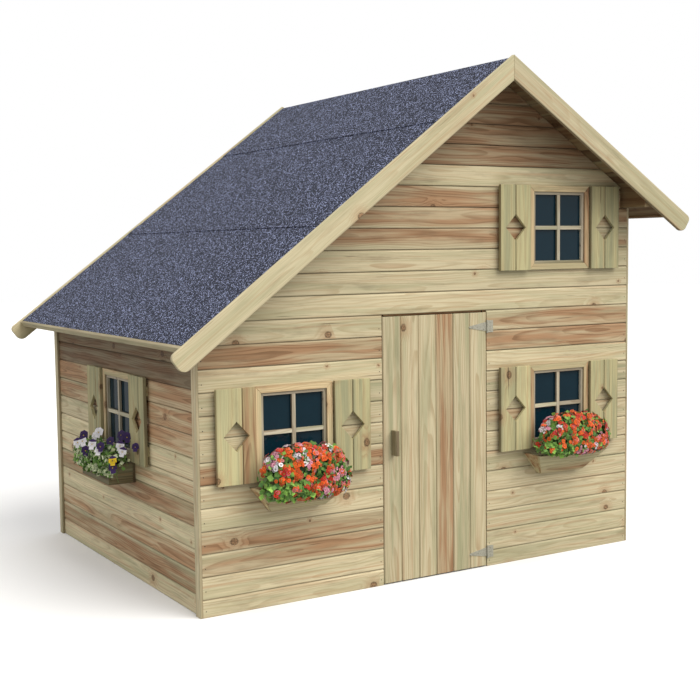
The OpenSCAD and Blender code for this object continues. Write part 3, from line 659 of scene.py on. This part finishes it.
def felt_look():
    """Roofing felt: dark mineral grains, some of them pale, laid a little unevenly."""
    settings = bpy.context.scene.playhouse_roof
    material, tree, shader = new_material("roofing_felt")
    place = object_place(tree)
    grit = add_node(tree, "TexVoronoi", feature="F1", in_Vector=place, in_Scale=1 / settings.grit)
    luck = add_node(tree, "SeparateXYZ", in_0=grit.outputs["Color"]).outputs
    patch = noise(tree, place, 5.0, 4.0, 0.6)
    dark = tuple(c * 0.3 for c in settings.felt)
    shade = blend_colour(tree, luck[0], dark, settings.felt)
    shade = blend_colour(tree, ease(tree, luck[1], 0.83, 0.9), shade, settings.fleck)
    tone = line(tree, patch, 0.5, 0.75)
    shade = dimmed(tree, shade, tone)
    tree.links.new(shade, shader.inputs["Base Color"])
    rough = line(tree, luck[2], 0.2, 0.75)
    tree.links.new(rough, shader.inputs["Roughness"])
    bump_into(tree, shader, rest(tree, grit.outputs["Distance"]), 0.0016, 0.8)
    return material


def mottled_look(name, base, dark, size, rough, metal=0.0, speck=0.2, bump=None):
    """A colour that darkens in blotches. Rough is a slope and a base, bump a depth and a strength."""
    material, tree, shader = new_material(name)
    effect = mottled(tree, base, [c * dark for c in base], size, speck)
    tree.links.new(effect["Color"], shader.inputs["Base Color"])
    tree.links.new(line(tree, effect["Height"], *rough), shader.inputs["Roughness"])
    shader.inputs["Metallic"].default_value = metal
    if bump:
        bump_into(tree, shader, effect["Height"], *bump)
    return material


def zinc_look():
    zinc = bpy.context.scene.playhouse_fittings.zinc
    return mottled_look("galvanised_steel", zinc, 0.66, 0.004, (0.22, 0.4), metal=0.35, bump=(0.0002, 0.4))


def nail_look():
    """Nail heads gone dull and dark with weather."""
    dull = [c * 0.12 for c in bpy.context.scene.playhouse_fittings.zinc]
    return mottled_look("weathered_nail", dull, 5 / 12, 0.002, (0.2, 0.5), metal=0.5)


def soil_look():
    soil = bpy.context.scene.playhouse_fittings.soil
    return mottled_look("potting_soil", soil, 0.4, 0.007, (0.1, 0.85), speck=0.6, bump=(0.004, 0.9))


def pane_look():
    """Sheet with faint dust, so that it isn't perfectly clean. Its dark blue-green colour is painted shade of
    the dim room behind it.
    """
    settings = bpy.context.scene.playhouse_fittings
    material, tree, shader = new_material("window_pane")
    place = object_place(tree)
    dust = noise(tree, place, 14.0, 4.0, 0.6)
    wave = noise(tree, place, 4.0, 1.0)
    clear = tuple(c * 0.9 for c in settings.pane_shade)
    shade = blend_colour(tree, ease(tree, dust, 0.45, 0.8), clear, settings.pane_shade)
    tree.links.new(shade, shader.inputs["Base Color"])
    tree.links.new(line(tree, dust, 0.05, 0.02), shader.inputs["Roughness"])
    shader.inputs["Transmission Weight"].default_value = 0.3
    shader.inputs["Specular IOR Level"].default_value = 0.12
    shader.inputs["IOR"].default_value = 1.49
    bump_into(tree, shader, wave, 0.001, 0.15)
    return material


def plant_look(name, vein, rough, sheen):
    """Leaves or petals: colour from the tint attribute, paler or darker towards the tip."""
    if name in bpy.data.materials:
        return bpy.data.materials[name]
    material, tree, shader = new_material(name)
    tint = add_node(tree, "Attribute", attribute_name="tint").outputs["Vector"]
    reach = add_node(tree, "Attribute", attribute_name="reach").outputs["Fac"]
    effect = mottled(tree, tint, dimmed(tree, tint, 0.72), vein)
    tone = line(tree, reach, 0.35, 0.75)
    shade = dimmed(tree, effect["Color"], tone)
    tree.links.new(shade, shader.inputs["Base Color"])
    tree.links.new(line(tree, effect["Height"], 0.12, rough), shader.inputs["Roughness"])
    shader.inputs["Sheen Weight"].default_value = sheen
    shader.inputs["Specular IOR Level"].default_value = 0.25
    bump_into(tree, shader, effect["Height"], 0.0008, 0.4)
    return material


# ---- Plants ----


def edit_shape(piece, test, resize=None, move=None):
    """Selects the vertices that pass the test, then resizes or moves them in edit mode."""
    activate(piece)
    bpy.ops.object.mode_set(mode="EDIT")
    shape = bmesh.from_edit_mesh(piece.data)
    for v in shape.verts:
        v.select = bool(test(v.co))
    shape.select_flush_mode()
    for e in shape.edges:
        e.select = e.verts[0].select and e.verts[1].select
    bmesh.update_edit_mesh(piece.data)
    if resize:
        bpy.ops.transform.resize(value=resize)
    if move:
        bpy.ops.transform.translate(value=move)
    bpy.ops.object.mode_set(mode="OBJECT")


def blade(widths, lifts, cup):
    """A unit petal or leaf along +Y: a grid narrowed row by row, lifted, and folded at its middle."""
    deselect()
    rows = len(widths) - 1
    bpy.ops.mesh.primitive_grid_add(x_subdivisions=2, y_subdivisions=rows, size=1, location=(0, 0.5, 0))
    piece = bpy.context.object
    apply_place()
    for i, (width, lift) in enumerate(zip(widths, lifts)):
        y = i / rows
        edit_shape(piece, lambda c, y=y: abs(c.y - y) < 0.01, (width, 1, 1), (0, 0, lift))
    edit_shape(piece, lambda c: abs(c.x) < 0.001, None, (0, 0, -cup))
    return piece


def take_shape(piece):
    """Vertices and faces of a finished pattern piece, which is then removed."""
    co = positions(piece.data)
    faces = [tuple(f.vertices) for f in piece.data.polygons]
    bpy.data.objects.remove(piece)
    return co, faces


def gather(parts):
    """Joins (vertices, faces) patterns into one, with each vertex's reach and part number."""
    co, faces, reach, part = [], [], [], []
    for k, (points, polygons) in enumerate(parts):
        start = sum(len(c) for c in co)
        co.append(points)
        faces += [tuple(i + start for i in f) for f in polygons]
        reach.append(np.clip(np.linalg.norm(points[:, :2], axis=1), 0, 1))
        part.append(np.full(len(points), k))
    return np.concatenate(co), faces, np.concatenate(reach), np.concatenate(part)


def turned(shape, angle, size=1.0, lift=0.0):
    co, faces = shape
    c, s = math.cos(angle), math.sin(angle)
    spin = np.array([[c, -s, 0], [s, c, 0], [0, 0, 1]])
    return co * size @ spin.T + [0, 0, lift], faces


def flower_eye(radius, lift):
    deselect()
    bpy.ops.mesh.primitive_ico_sphere_add(subdivisions=1, radius=radius, location=(0, 0, lift))
    eye = bpy.context.object
    apply_place()
    edit_shape(eye, lambda c: True, (1, 1, 0.6))
    return take_shape(eye)


def flower_pattern():
    """Five rounded petals round a small domed eye. The eye is the last part."""
    petal = take_shape(blade((0.22, 0.62, 0.78, 0.42), (0.0, 0.1, 0.17, 0.1), 0.05))
    return gather([turned(petal, k * math.tau / 5) for k in range(5)] + [flower_eye(0.17, 0.06)])


def pansy_pattern():
    """Two upper petals behind, two at the sides, a broad lower one in front, and the eye."""
    petal = take_shape(blade((0.3, 0.95, 1.12, 0.7), (0.0, 0.06, 0.1, 0.04), 0.03))
    # turn from upright, size and lift of each petal
    layout = [
        (0.42, 0.95, 0.0), (-0.42, 0.95, 0.015), (1.5, 0.85, 0.04), (-1.5, 0.85, 0.055), (math.pi, 1.0, 0.08),
    ]
    return gather([turned(petal, *facts) for facts in layout] + [flower_eye(0.13, 0.13)])


def leaf_pattern():
    return gather([take_shape(blade((0.12, 0.46, 0.4, 0.03), (0.0, 0.1, 0.08, -0.06), 0.07))])


def stem_pattern():
    """A thin four-sided stem, one unit tall along +Z."""
    deselect()
    bpy.ops.mesh.primitive_cylinder_add(vertices=4, radius=0.018, depth=1, location=(0, 0, -0.5))
    stem = bpy.context.object
    apply_place()
    edit_shape(stem, lambda c: c.z > -0.1, (0.6, 0.6, 1))
    return gather([take_shape(stem)])


def facing(normal, twist):
    """Rotation that turns +Z to the normal, and +Y as near upright as it goes, then twists it."""
    z = Vector(normal).normalized()
    up = Vector((0, 0, 1))
    y = (up - z * up.dot(z)).normalized() if abs(z.z) < 0.98 else Vector((0, 1, 0))
    x = y.cross(z)
    turn = Matrix((x, y, z)).transposed() @ Matrix.Rotation(twist, 3, "Z")
    return np.array(turn)


def scatter(name, pattern, places, material):
    """Copies a pattern to (point, rotation, size, colours by part) places, as one mesh."""
    co, faces, reach, part = pattern
    points, polygons, tints = [], [], []
    for k, (point, turn, size, colours) in enumerate(places):
        points.append(co * size @ turn.T + np.array(point))
        polygons += [tuple(i + k * len(co) for i in f) for f in faces]
        tints.append(np.array(colours)[np.minimum(part, len(colours) - 1)])
    mesh = bpy.data.meshes.new(name)
    mesh.from_pydata(np.concatenate(points).tolist(), [], polygons)
    store(mesh, "tint", "FLOAT_VECTOR", np.concatenate(tints))
    store(mesh, "reach", "FLOAT", np.tile(reach, len(places)))
    piece = link_mesh(name, mesh)
    piece.data.materials.append(material)
    activate(piece)
    bpy.ops.object.shade_smooth()
    return piece


# Plants' least distance from their box, and leaves' from a pansy's middle, in metres
BOX_GAP, HEAD_ROOM = 0.004, 0.021


def mound(rng, low, high, outward, trough, inner=0.8, square=2.5, back=-0.4):
    """A point, its normal and its place on the domed front or top of a planting, clear of the box."""
    deep = int(np.abs(outward).argmax())
    rim = trough[1][2] + BOX_GAP
    front = max(outward @ trough[0], outward @ trough[1]) + BOX_GAP
    while True:
        share = np.zeros(3)
        rest = rng.choice([deep, 2, 1 - deep], p=(0.56, 0.24, 0.2))
        share[np.arange(3) != rest] = rng.random(2) * 2 - 1
        left = 1 - (np.abs(share) ** square).sum()
        if left <= 0:
            continue
        side = outward[deep] if rest == deep else rng.choice([1, 1 if rest == 2 else -1])
        share[rest] = left ** (1 / square) * side
        # widest three tenths of the way up
        centre, half = (low + high) / 2, (high - low) / 2
        centre[2] = low[2] * 0.7 + high[2] * 0.3
        half[2] = (high[2] - low[2]) * (0.7 if share[2] > 0 else 0.3)
        point = centre + share * half * (inner + (1 - inner) * rng.random())
        normal = np.sign(share) * np.abs(share) ** (square - 1) / half
        if share @ outward > back and (point[2] > rim or point @ outward > front):
            return point, normal / np.linalg.norm(normal), share


def leaf_core(name, low, high, material, colour):
    """Inner foliage that closes the gaps between leaves, tinted far darker than the leaves as painted shade
    inside the planting.
    """
    deselect()
    bpy.ops.mesh.primitive_ico_sphere_add(subdivisions=4, radius=1, location=(0, 0, 0))
    core = bpy.context.object
    core.name = name
    centre, half = low * 0.5 + high * 0.5, (high - low) / 2 * [0.72, 0.72, 0.7]
    centre[2] = low[2] * 0.58 + high[2] * 0.42
    core.scale = half
    core.location = centre
    apply_place()
    lumps = bpy.data.textures.new(name + "_lumps", "CLOUDS")
    lumps.noise_scale = 0.022
    push = core.modifiers.new("lumps", "DISPLACE")
    push.texture = lumps
    push.strength = 0.02
    push.mid_level = 0.6
    apply_all(core)
    count = len(core.data.vertices)
    store(core.data, "tint", "FLOAT_VECTOR", np.tile(colour, (count, 1)))
    store(core.data, "reach", "FLOAT", np.full(count, 0.2))
    core.data.materials.append(material)
    return core


def leaf_tint(s, rng):
    mix = rng.random()
    return np.array(s.leaf) * mix + np.array(s.leaf_dark) * (1 - mix)


def set_leaf(rng, point, normal, flutter, size):
    """Where one leaf goes, which way it turns and how large it is."""
    turn = facing(normal + rng.normal(size=3) * flutter, rng.random() * math.tau)
    size = size * (0.7 + 0.6 * rng.random())
    return point - normal * size * 0.5, turn, size


def finish_planting(node, slot, core, **copies):
    """Scatters the leaves, stems and blooms. The core stands for the CAD solid."""
    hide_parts(node)
    pieces = [core] + [scatter(f"{node}_{kind}", *facts) for kind, facts in copies.items()]
    for piece in pieces:
        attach(piece, "house")


# ---- Operators ----

# How red each wall's boards are, and their finish; the low side's finish is a lighter copy of the wall's,
# painted light on that shaded wall
CLADDING = {
    "front_cladding": (0.5, "wall"),
    "back_cladding": (0.5, "wall"),
    "low_side_cladding": (0.95, "side"),
    "high_side_cladding": (0.6, "wall"),
}
WINDOWS = ("front_left", "front_right", "front_upper", "side")
# The axis that each wall faces along, and which way
WALL_FACES = {
    "front_cladding": (1, -1), "back_cladding": (1, 1),
    "low_side_cladding": (0, -1), "high_side_cladding": (0, 1),
}


class PlayhouseOperator:
    bl_options = {"REGISTER", "UNDO"}


class PLAYHOUSE_OT_walls(PlayhouseOperator, bpy.types.Operator):
    """Board the four walls and fit the corner strips"""
    bl_idname = "playhouse.walls"
    bl_label = "Walls"

    def execute(self, context):
        for k, (node, (red, kind)) in enumerate(CLADDING.items()):
            timber_piece(node, kind, 1 + k, edge=0.003, red=red)
        timber_piece("corner_strips", "trim", 9, red=0.1)
        return {"FINISHED"}


# Boards shorter or lower than this have no nails, in metres, and how far up a board a nail is
SHORTEST_NAILED, LOWEST_NAILED, NAIL_LEVEL = 0.08, 0.06, 0.36


class PLAYHOUSE_OT_nails(PlayhouseOperator, bpy.types.Operator):
    """Drive a nail into each end of every wall board"""
    bl_idname = "playhouse.nails"
    bl_label = "Nails"
    inset: length_property("Inset", "Nail's distance from the board's end", 0.014)
    head: length_property("Head", "Radius of a nail's head", 0.0024)

    def execute(self, context):
        deselect()
        bpy.ops.mesh.primitive_uv_sphere_add(segments=8, ring_count=4, radius=1, location=(0, 0, 0))
        dome = bpy.context.object
        edit_shape(dome, lambda c: True, (1, 1, 0.35))
        pattern = gather([take_shape(dome)])
        places = []
        for node, (axis, side) in WALL_FACES.items():
            mesh = bpy.data.objects[node + "_timber"].data
            co = positions(mesh)
            run = 1 - axis
            for group in islands(mesh)[0]:
                board = co[group]
                low, high = board.min(0), board.max(0)
                if high[run] - low[run] < SHORTEST_NAILED or high[2] - low[2] < LOWEST_NAILED:
                    continue
                point, normal = np.zeros(3), np.zeros(3)
                normal[axis] = side
                point[axis] = (high if side > 0 else low)[axis] + side * 0.0002
                point[2] = low[2] + (high[2] - low[2]) * NAIL_LEVEL
                # a board cut to the roof's slope is shorter at the nail than at its lower edge
                reach = board[np.abs(board[:, 2] - point[2]) < 0.06, run]
                for end in (low[run] + self.inset, high[run] - self.inset):
                    if len(reach) and reach.min() + 0.008 < end < reach.max() - 0.008:
                        point[run] = end
                        places.append((point.copy(), facing(normal, 0), self.head, [(0.3, 0.3, 0.3)]))
        nails = scatter("board_nails", pattern, places, nail_look())
        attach(nails, "house")
        return {"FINISHED"}


class PLAYHOUSE_OT_door(PlayhouseOperator, bpy.types.Operator):
    """Make the plank door with its ledges, brace and handle"""
    bl_idname = "playhouse.door"
    bl_label = "Door"

    def execute(self, context):
        for k, node in enumerate(("door_boards", "door_ledges", "door_brace")):
            timber_piece(node, "door", 20 + k, red=0.4, body="door")
        timber_piece("door_handle", "handle", 23, body="door")
        return {"FINISHED"}


class PLAYHOUSE_OT_hardware(PlayhouseOperator, bpy.types.Operator):
    """Finish the strap hinges, their pins and their screws"""
    bl_idname = "playhouse.hardware"
    bl_label = "Hinges"

    def execute(self, context):
        look = zinc_look()
        for node in ("hinge_leaves", "hinge_pins", "hinge_leaf_screws", "hinge_straps", "hinge_strap_screws"):
            coat(node, look)
        return {"FINISHED"}


class PLAYHOUSE_OT_windows(PlayhouseOperator, bpy.types.Operator):
    """Fit casings, sashes and panes"""
    bl_idname = "playhouse.windows"
    bl_label = "Windows"

    def execute(self, context):
        for k, place in enumerate(WINDOWS):
            timber_piece("casing_" + place, "casing", 30 + k, edge=0.0015, red=0.3)
            timber_piece("sash_" + place, "sash", 40 + k, edge=0.001, red=0.1)
        coat("window_panes", pane_look())
        return {"FINISHED"}


class PLAYHOUSE_OT_shutters(PlayhouseOperator, bpy.types.Operator):
    """Make the shutters with their diamond cut-outs"""
    bl_idname = "playhouse.shutters"
    bl_label = "Shutters"

    def execute(self, context):
        for k, place in enumerate(WINDOWS):
            node = "shutter_boards_" + place
            timber_piece(node, "shutter", 50 + k, edge=0.0016, red=0.25)
        timber_piece("shutter_battens", "shutter", 58)
        return {"FINISHED"}


class PLAYHOUSE_OT_roof(PlayhouseOperator, bpy.types.Operator):
    """Lay the roof boards and felt, and fit the verge boards and eave trims"""
    bl_idname = "playhouse.roof"
    bl_label = "Roof"

    def execute(self, context):
        hidden = ("roof_boards_long", "roof_boards_short", "rafters", "ridge_board", "high_wall_plate")
        for k, node in enumerate(hidden):
            timber_piece(node, "roof", 60 + k, red=0.6)
        for k, node in enumerate(("verge_boards_front", "verge_boards_back", "eave_trims")):
            timber_piece(node, "verge", 70 + k, edge=0.002, red=0.2)
        look = felt_look()
        for node in ("felt_eave_long", "felt_middle_long", "felt_ridge", "felt_eave_short"):
            coat(node, look)
        return {"FINISHED"}


class PLAYHOUSE_OT_inside(PlayhouseOperator, bpy.types.Operator):
    """Finish the studs, the floor, the deck and the ladder"""
    bl_idname = "playhouse.inside"
    bl_label = "Inside"

    def execute(self, context):
        nodes = (
            "floor_joists", "floor_boards", "deck_joists", "deck_boards", "ladder_stiles", "ladder_rungs",
            "front_studs", "back_studs", "low_side_studs", "high_side_studs",
        )
        for k, node in enumerate(nodes):
            timber_piece(node, "framing", 80 + k)
        return {"FINISHED"}


class PLAYHOUSE_OT_boxes(PlayhouseOperator, bpy.types.Operator):
    """Make the flower boxes and fill them with soil"""
    bl_idname = "playhouse.boxes"
    bl_label = "Flower boxes"

    def execute(self, context):
        for k, place in enumerate(("front_left", "front_right", "side")):
            kind = "side_box" if place == "side" else "box"
            timber_piece("flower_box_" + place, kind, 95 + k, red=0.1)
        coat("potting_soil", soil_look())
        return {"FINISHED"}


class PLAYHOUSE_OT_front_flowers(PlayhouseOperator, bpy.types.Operator):
    """Plant both front boxes"""
    bl_idname = "playhouse.front_flowers"
    bl_label = "Front flowers"

    def execute(self, context):
        s = context.scene.playhouse_plants
        petals = plant_look("petals", 0.004, 0.55, 0.35)
        leaf = plant_look("leaves", 0.006, 0.5, 0.15)
        flower, leaf_shape, stem = flower_pattern(), leaf_pattern(), stem_pattern()
        outward = np.array([0.0, -1.0, 0.0])
        warm = [s.orange, s.orange, s.orange, s.orange, s.red]
        cool = [s.pink, s.white, s.pink]
        stalk = [np.array(s.leaf) * 0.8]
        for index, side in enumerate(("left", "right")):
            node, slot = "flowers_front_" + side, "planting_front_" + side
            low, high = (np.array(v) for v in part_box(node))
            rng = np.random.default_rng(s.seed + index)
            blooms, leaves, stems = [], [], []
            trough = [np.array(v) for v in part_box("flower_box_front_" + side)]
            for _ in range(s.blooms):
                point, normal, d = mound(rng, low, high, outward, trough, 0.93)
                u, v = d[0], d[2]
                # the lower left is mostly leaves
                if u < 0.0 and v < 0.1 - u * 0.4 and rng.random() < 0.72:
                    continue
                # pink and white heads lie mostly at both ends
                few = 0.5 if u < -0.6 or u > 0.85 else 0.22 if v < -0.2 else 0.1
                pick = cool if rng.random() < few else warm
                shade = np.array(pick[rng.integers(len(pick))])
                eye = np.array(s.yellow) if pick is warm else np.array(s.pink) * 0.5
                turn = facing(normal + rng.normal(size=3) * 0.2, 0)
                for _ in range(int(rng.integers(5, 10))):
                    size = s.bloom * (0.7 + 0.6 * rng.random())
                    aside = rng.normal(size=2) * 0.0098
                    lift = 0.004 - (aside @ aside) * 14
                    spot = point - normal * 0.008 + turn @ np.array([*aside, lift])
                    lean = turn @ np.array([*(aside * 30), 1.0]) + rng.normal(size=3) * 0.12
                    tilt = facing(lean, rng.random() * math.tau)
                    tint = shade * (0.55 + 0.75 * rng.random())
                    if rng.random() < 0.12:
                        tint = tint * 0.5 + np.array(s.pink) * 0.5
                    blooms.append((spot, tilt, size, [tint] * 5 + [eye]))
                stems.append((point - normal * 0.006, turn, 0.06 + 0.03 * rng.random(), stalk))
            for _ in range(s.leaves):
                point, normal, d = mound(rng, low, high, outward, trough, 0.74)
                shade = leaf_tint(s, rng)
                if d[0] < 0 and d[2] < 0.1:
                    shade = shade * (1.1 + 0.4 * rng.random())
                leaves.append((*set_leaf(rng, point, normal, 0.55, 0.017), [shade]))
            low[2] = trough[1][2] - 0.01
            # the core's dark tint is painted shade inside the planting
            core = leaf_core(node + "_core", low, high, leaf, np.array(s.leaf_dark) * 0.4)
            finish_planting(
                node, slot, core, leaves=(leaf_shape, leaves, leaf), stems=(stem, stems, leaf),
                blooms=(flower, blooms, petals),
            )
        return {"FINISHED"}


class PLAYHOUSE_OT_pansies(PlayhouseOperator, bpy.types.Operator):
    """Plant the side box with pansies"""
    bl_idname = "playhouse.pansies"
    bl_label = "Pansies"

    def execute(self, context):
        s = context.scene.playhouse_plants
        petals = plant_look("petals", 0.004, 0.55, 0.35)
        leaf = plant_look("leaves", 0.006, 0.5, 0.15)
        low, high = (np.array(v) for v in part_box("flowers_side"))
        trough = [np.array(v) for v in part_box("flower_box_side")]
        outward = np.array([-1.0, 0.0, 0.0])
        rng = np.random.default_rng(s.seed + 20)
        white, yellow, purple = (np.array(c) for c in (s.white, s.yellow, s.purple))
        kinds = {
            "two_tone": [purple, purple, white, white, white, yellow],
            "yellow": [purple, purple * 1.2, yellow, yellow, yellow, purple * 0.6],
            "dark": [purple, purple, purple * 0.8, purple * 0.8, purple * 1.1, yellow],
            "white": [white, white, white, white, white * 0.97, yellow],
        }
        # share of the planting's length towards the door wall, of its depth outward, of its height, kind
        rows = [
            (0.25, 0.62, 0.57, "two_tone"), (0.49, 0.64, 0.60, "two_tone"), (0.29, 0.28, 0.84, "dark"),
            (0.31, 0.38, 0.74, "white"), (0.20, 0.60, 0.72, "dark"), (0.64, 0.55, 0.60, "dark"),
            (0.67, 0.40, 0.74, "dark"), (0.79, 0.20, 0.66, "two_tone"), (0.80, 0.06, 0.92, "dark"),
            (0.68, 0.08, 0.94, "dark"), (0.93, 0.66, 0.28, "yellow"), (0.97, 0.06, 0.68, "dark"),
            (0.91, 0.60, 0.02, "dark"), (0.57, 0.52, 0.44, "white"), (0.08, 0.55, 0.42, "two_tone"),
            (0.42, 0.45, 0.92, "white"), (0.88, 0.25, 0.52, "two_tone"), (0.38, 0.85, 0.30, "dark"),
        ]
        blooms, leaves, stems = [], [], []
        floor = trough[1][2]
        leafy = high.copy()
        leafy[2] = floor + (high[2] - floor) * 0.74
        # the flowers lean out over the path to the door
        lean, upright = np.array([-0.52, -0.84, 0.1]), facing((-0.3, 0, 1), 0)
        for along, out, up, kind in rows:
            size = 0.0225 * (0.9 + 0.22 * rng.random())
            spot = high - (high - [low[0], low[1], floor]) * [out, along, 1 - up]
            normal = np.array([-0.85, -0.75, 0.2 + 0.3 * up]) + rng.normal(size=3) * 0.14
            while (np.abs((spot * 2 - low - leafy) / (leafy - low)) ** 4).sum() < 1.1:
                spot = spot + lean * 0.004
            spot = np.clip(spot, low + size * 0.4, high - size * 0.4)
            colours = [c * (0.92 + 0.12 * rng.random()) for c in kinds[kind]]
            blooms.append((spot, facing(normal, rng.normal() * 0.2), size, colours))
            stems.append((spot - normal * 0.006, upright, 0.07, [np.array(s.leaf) * 0.8]))
        heads = np.array([b[0] for b in blooms])
        while len(leaves) < s.side_leaves:
            point, normal, d = mound(rng, low, leafy, outward, trough, 0.6, 4.0, -0.95)
            if np.linalg.norm(heads - point, axis=1).min() < HEAD_ROOM:
                continue
            shade = leaf_tint(s, rng)
            if rng.random() < 0.38:
                shade = np.array(s.leaf_pale)
            leaves.append((*set_leaf(rng, point, normal, 0.6, 0.0145), [shade * (0.85 + 0.3 * rng.random())]))
        low[2] = floor - 0.01
        # the core's dark tint is painted shade inside the planting
        core = leaf_core("flowers_side_core", low, leafy, leaf, np.array(s.leaf_dark) * 0.3)
        finish_planting(
            "flowers_side", "planting_side", core, leaves=(leaf_pattern(), leaves, leaf),
            stems=(stem_pattern(), stems, leaf), blooms=(pansy_pattern(), blooms, petals),
        )
        return {"FINISHED"}


# The camera, from the ground under the house's front corner on the low side, in metres
EYE = (-1.9553, -4.4213, 1.5103)
YAW, DIP, ROLL = math.radians(31.288), math.radians(4.877), math.radians(-0.665)
LENS = 61.5
SUN_FROM = (0.40, -0.66, 0.88)


class PLAYHOUSE_OT_stage(PlayhouseOperator, bpy.types.Operator):
    """Set up the camera, the floor and soft studio light"""
    bl_idname = "playhouse.stage"
    bl_label = "Stage"

    def execute(self, context):
        s = context.scene.playhouse_stage
        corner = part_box("corner_strips")[0]
        eye = Vector((corner.x + EYE[0], corner.y + EYE[1], EYE[2]))
        look = Vector((math.sin(YAW) * math.cos(DIP), math.cos(YAW) * math.cos(DIP), -math.sin(DIP)))
        right = Vector((math.cos(YAW), -math.sin(YAW), 0))
        up = right.cross(look)
        right_r = right * math.cos(ROLL) + up * math.sin(ROLL)
        up_r = up * math.cos(ROLL) - right * math.sin(ROLL)
        data = bpy.data.cameras.new("camera")
        data.lens = LENS
        data.sensor_width = 36
        data.clip_end = 60
        camera = bpy.data.objects.new("camera", data)
        context.scene.collection.objects.link(camera)
        turn = Matrix((right_r, up_r, -look)).transposed().to_4x4()
        camera.matrix_world = Matrix.Translation(eye) @ turn
        context.scene.camera = camera

        deselect()
        bpy.ops.mesh.primitive_plane_add(size=60, location=(0, 0, 0))
        floor = context.object
        floor.name = "stage_floor"
        material, tree, shader = new_material("stage_floor")
        seen = add_node(tree, "LightPath").outputs["Is Camera Ray"]
        shade = blend_colour(tree, seen, tuple(c * s.bounce for c in s.floor), s.floor)
        tree.links.new(shade, shader.inputs["Base Color"])
        shader.inputs["Roughness"].default_value = 0.9
        floor.data.materials.append(material)

        world = bpy.data.worlds.new("studio")
        world.use_nodes = True
        tree = world.node_tree
        back = tree.nodes["Background"]
        back.inputs[0].default_value = (1, 1, 1, 1)
        seen = add_node(tree, "LightPath").outputs["Is Camera Ray"]
        tree.links.new(line(tree, seen, 1.0 - s.ambient, s.ambient), back.inputs[1])
        context.scene.world = world
        lamp = bpy.data.lights.new("key_light", "SUN")
        lamp.energy = s.key
        lamp.angle = math.radians(55)
        lamp.color = (1.0, 0.97, 0.92)
        key = bpy.data.objects.new("key_light", lamp)
        context.scene.collection.objects.link(key)
        key.rotation_euler = Vector(SUN_FROM).to_track_quat("Z", "Y").to_euler()
        context.scene.view_settings.view_transform = "Standard"
        return {"FINISHED"}


OPERATORS = (
    PLAYHOUSE_OT_stage, PLAYHOUSE_OT_walls, PLAYHOUSE_OT_door, PLAYHOUSE_OT_hardware, PLAYHOUSE_OT_windows,
    PLAYHOUSE_OT_shutters, PLAYHOUSE_OT_roof, PLAYHOUSE_OT_inside, PLAYHOUSE_OT_boxes, PLAYHOUSE_OT_nails,
    PLAYHOUSE_OT_front_flowers, PLAYHOUSE_OT_pansies,
)


class PLAYHOUSE_PT_panel(bpy.types.Panel):
    """Sizes and colours of the playhouse, and a button for each of its parts"""
    bl_idname = "PLAYHOUSE_PT_panel"
    bl_label = "Wooden Playhouse"
    bl_space_type = "VIEW_3D"
    bl_region_type = "UI"
    bl_category = "Playhouse"

    def draw(self, context):
        for name, group in SETTINGS.items():
            box = self.layout.box()
            box.label(text=name.split("_")[1].title())
            for key in group.__annotations__:
                box.prop(getattr(context.scene, name), key)
        for operator in OPERATORS:
            self.layout.operator(operator.bl_idname)


def register():
    for cls in (*SETTINGS.values(), *OPERATORS, PLAYHOUSE_PT_panel):
        bpy.utils.register_class(cls)
    for name, group in SETTINGS.items():
        setattr(bpy.types.Scene, name, PointerProperty(type=group))


def unregister():
    for name in SETTINGS:
        delattr(bpy.types.Scene, name)
    for cls in reversed((*SETTINGS.values(), *OPERATORS, PLAYHOUSE_PT_panel)):
        bpy.utils.unregister_class(cls)


def main():
    register()
    for operator in OPERATORS:
        group, name = operator.bl_idname.split(".")
        getattr(getattr(bpy.ops, group), name)()
    deselect()


if __name__ == "__main__":
    main()
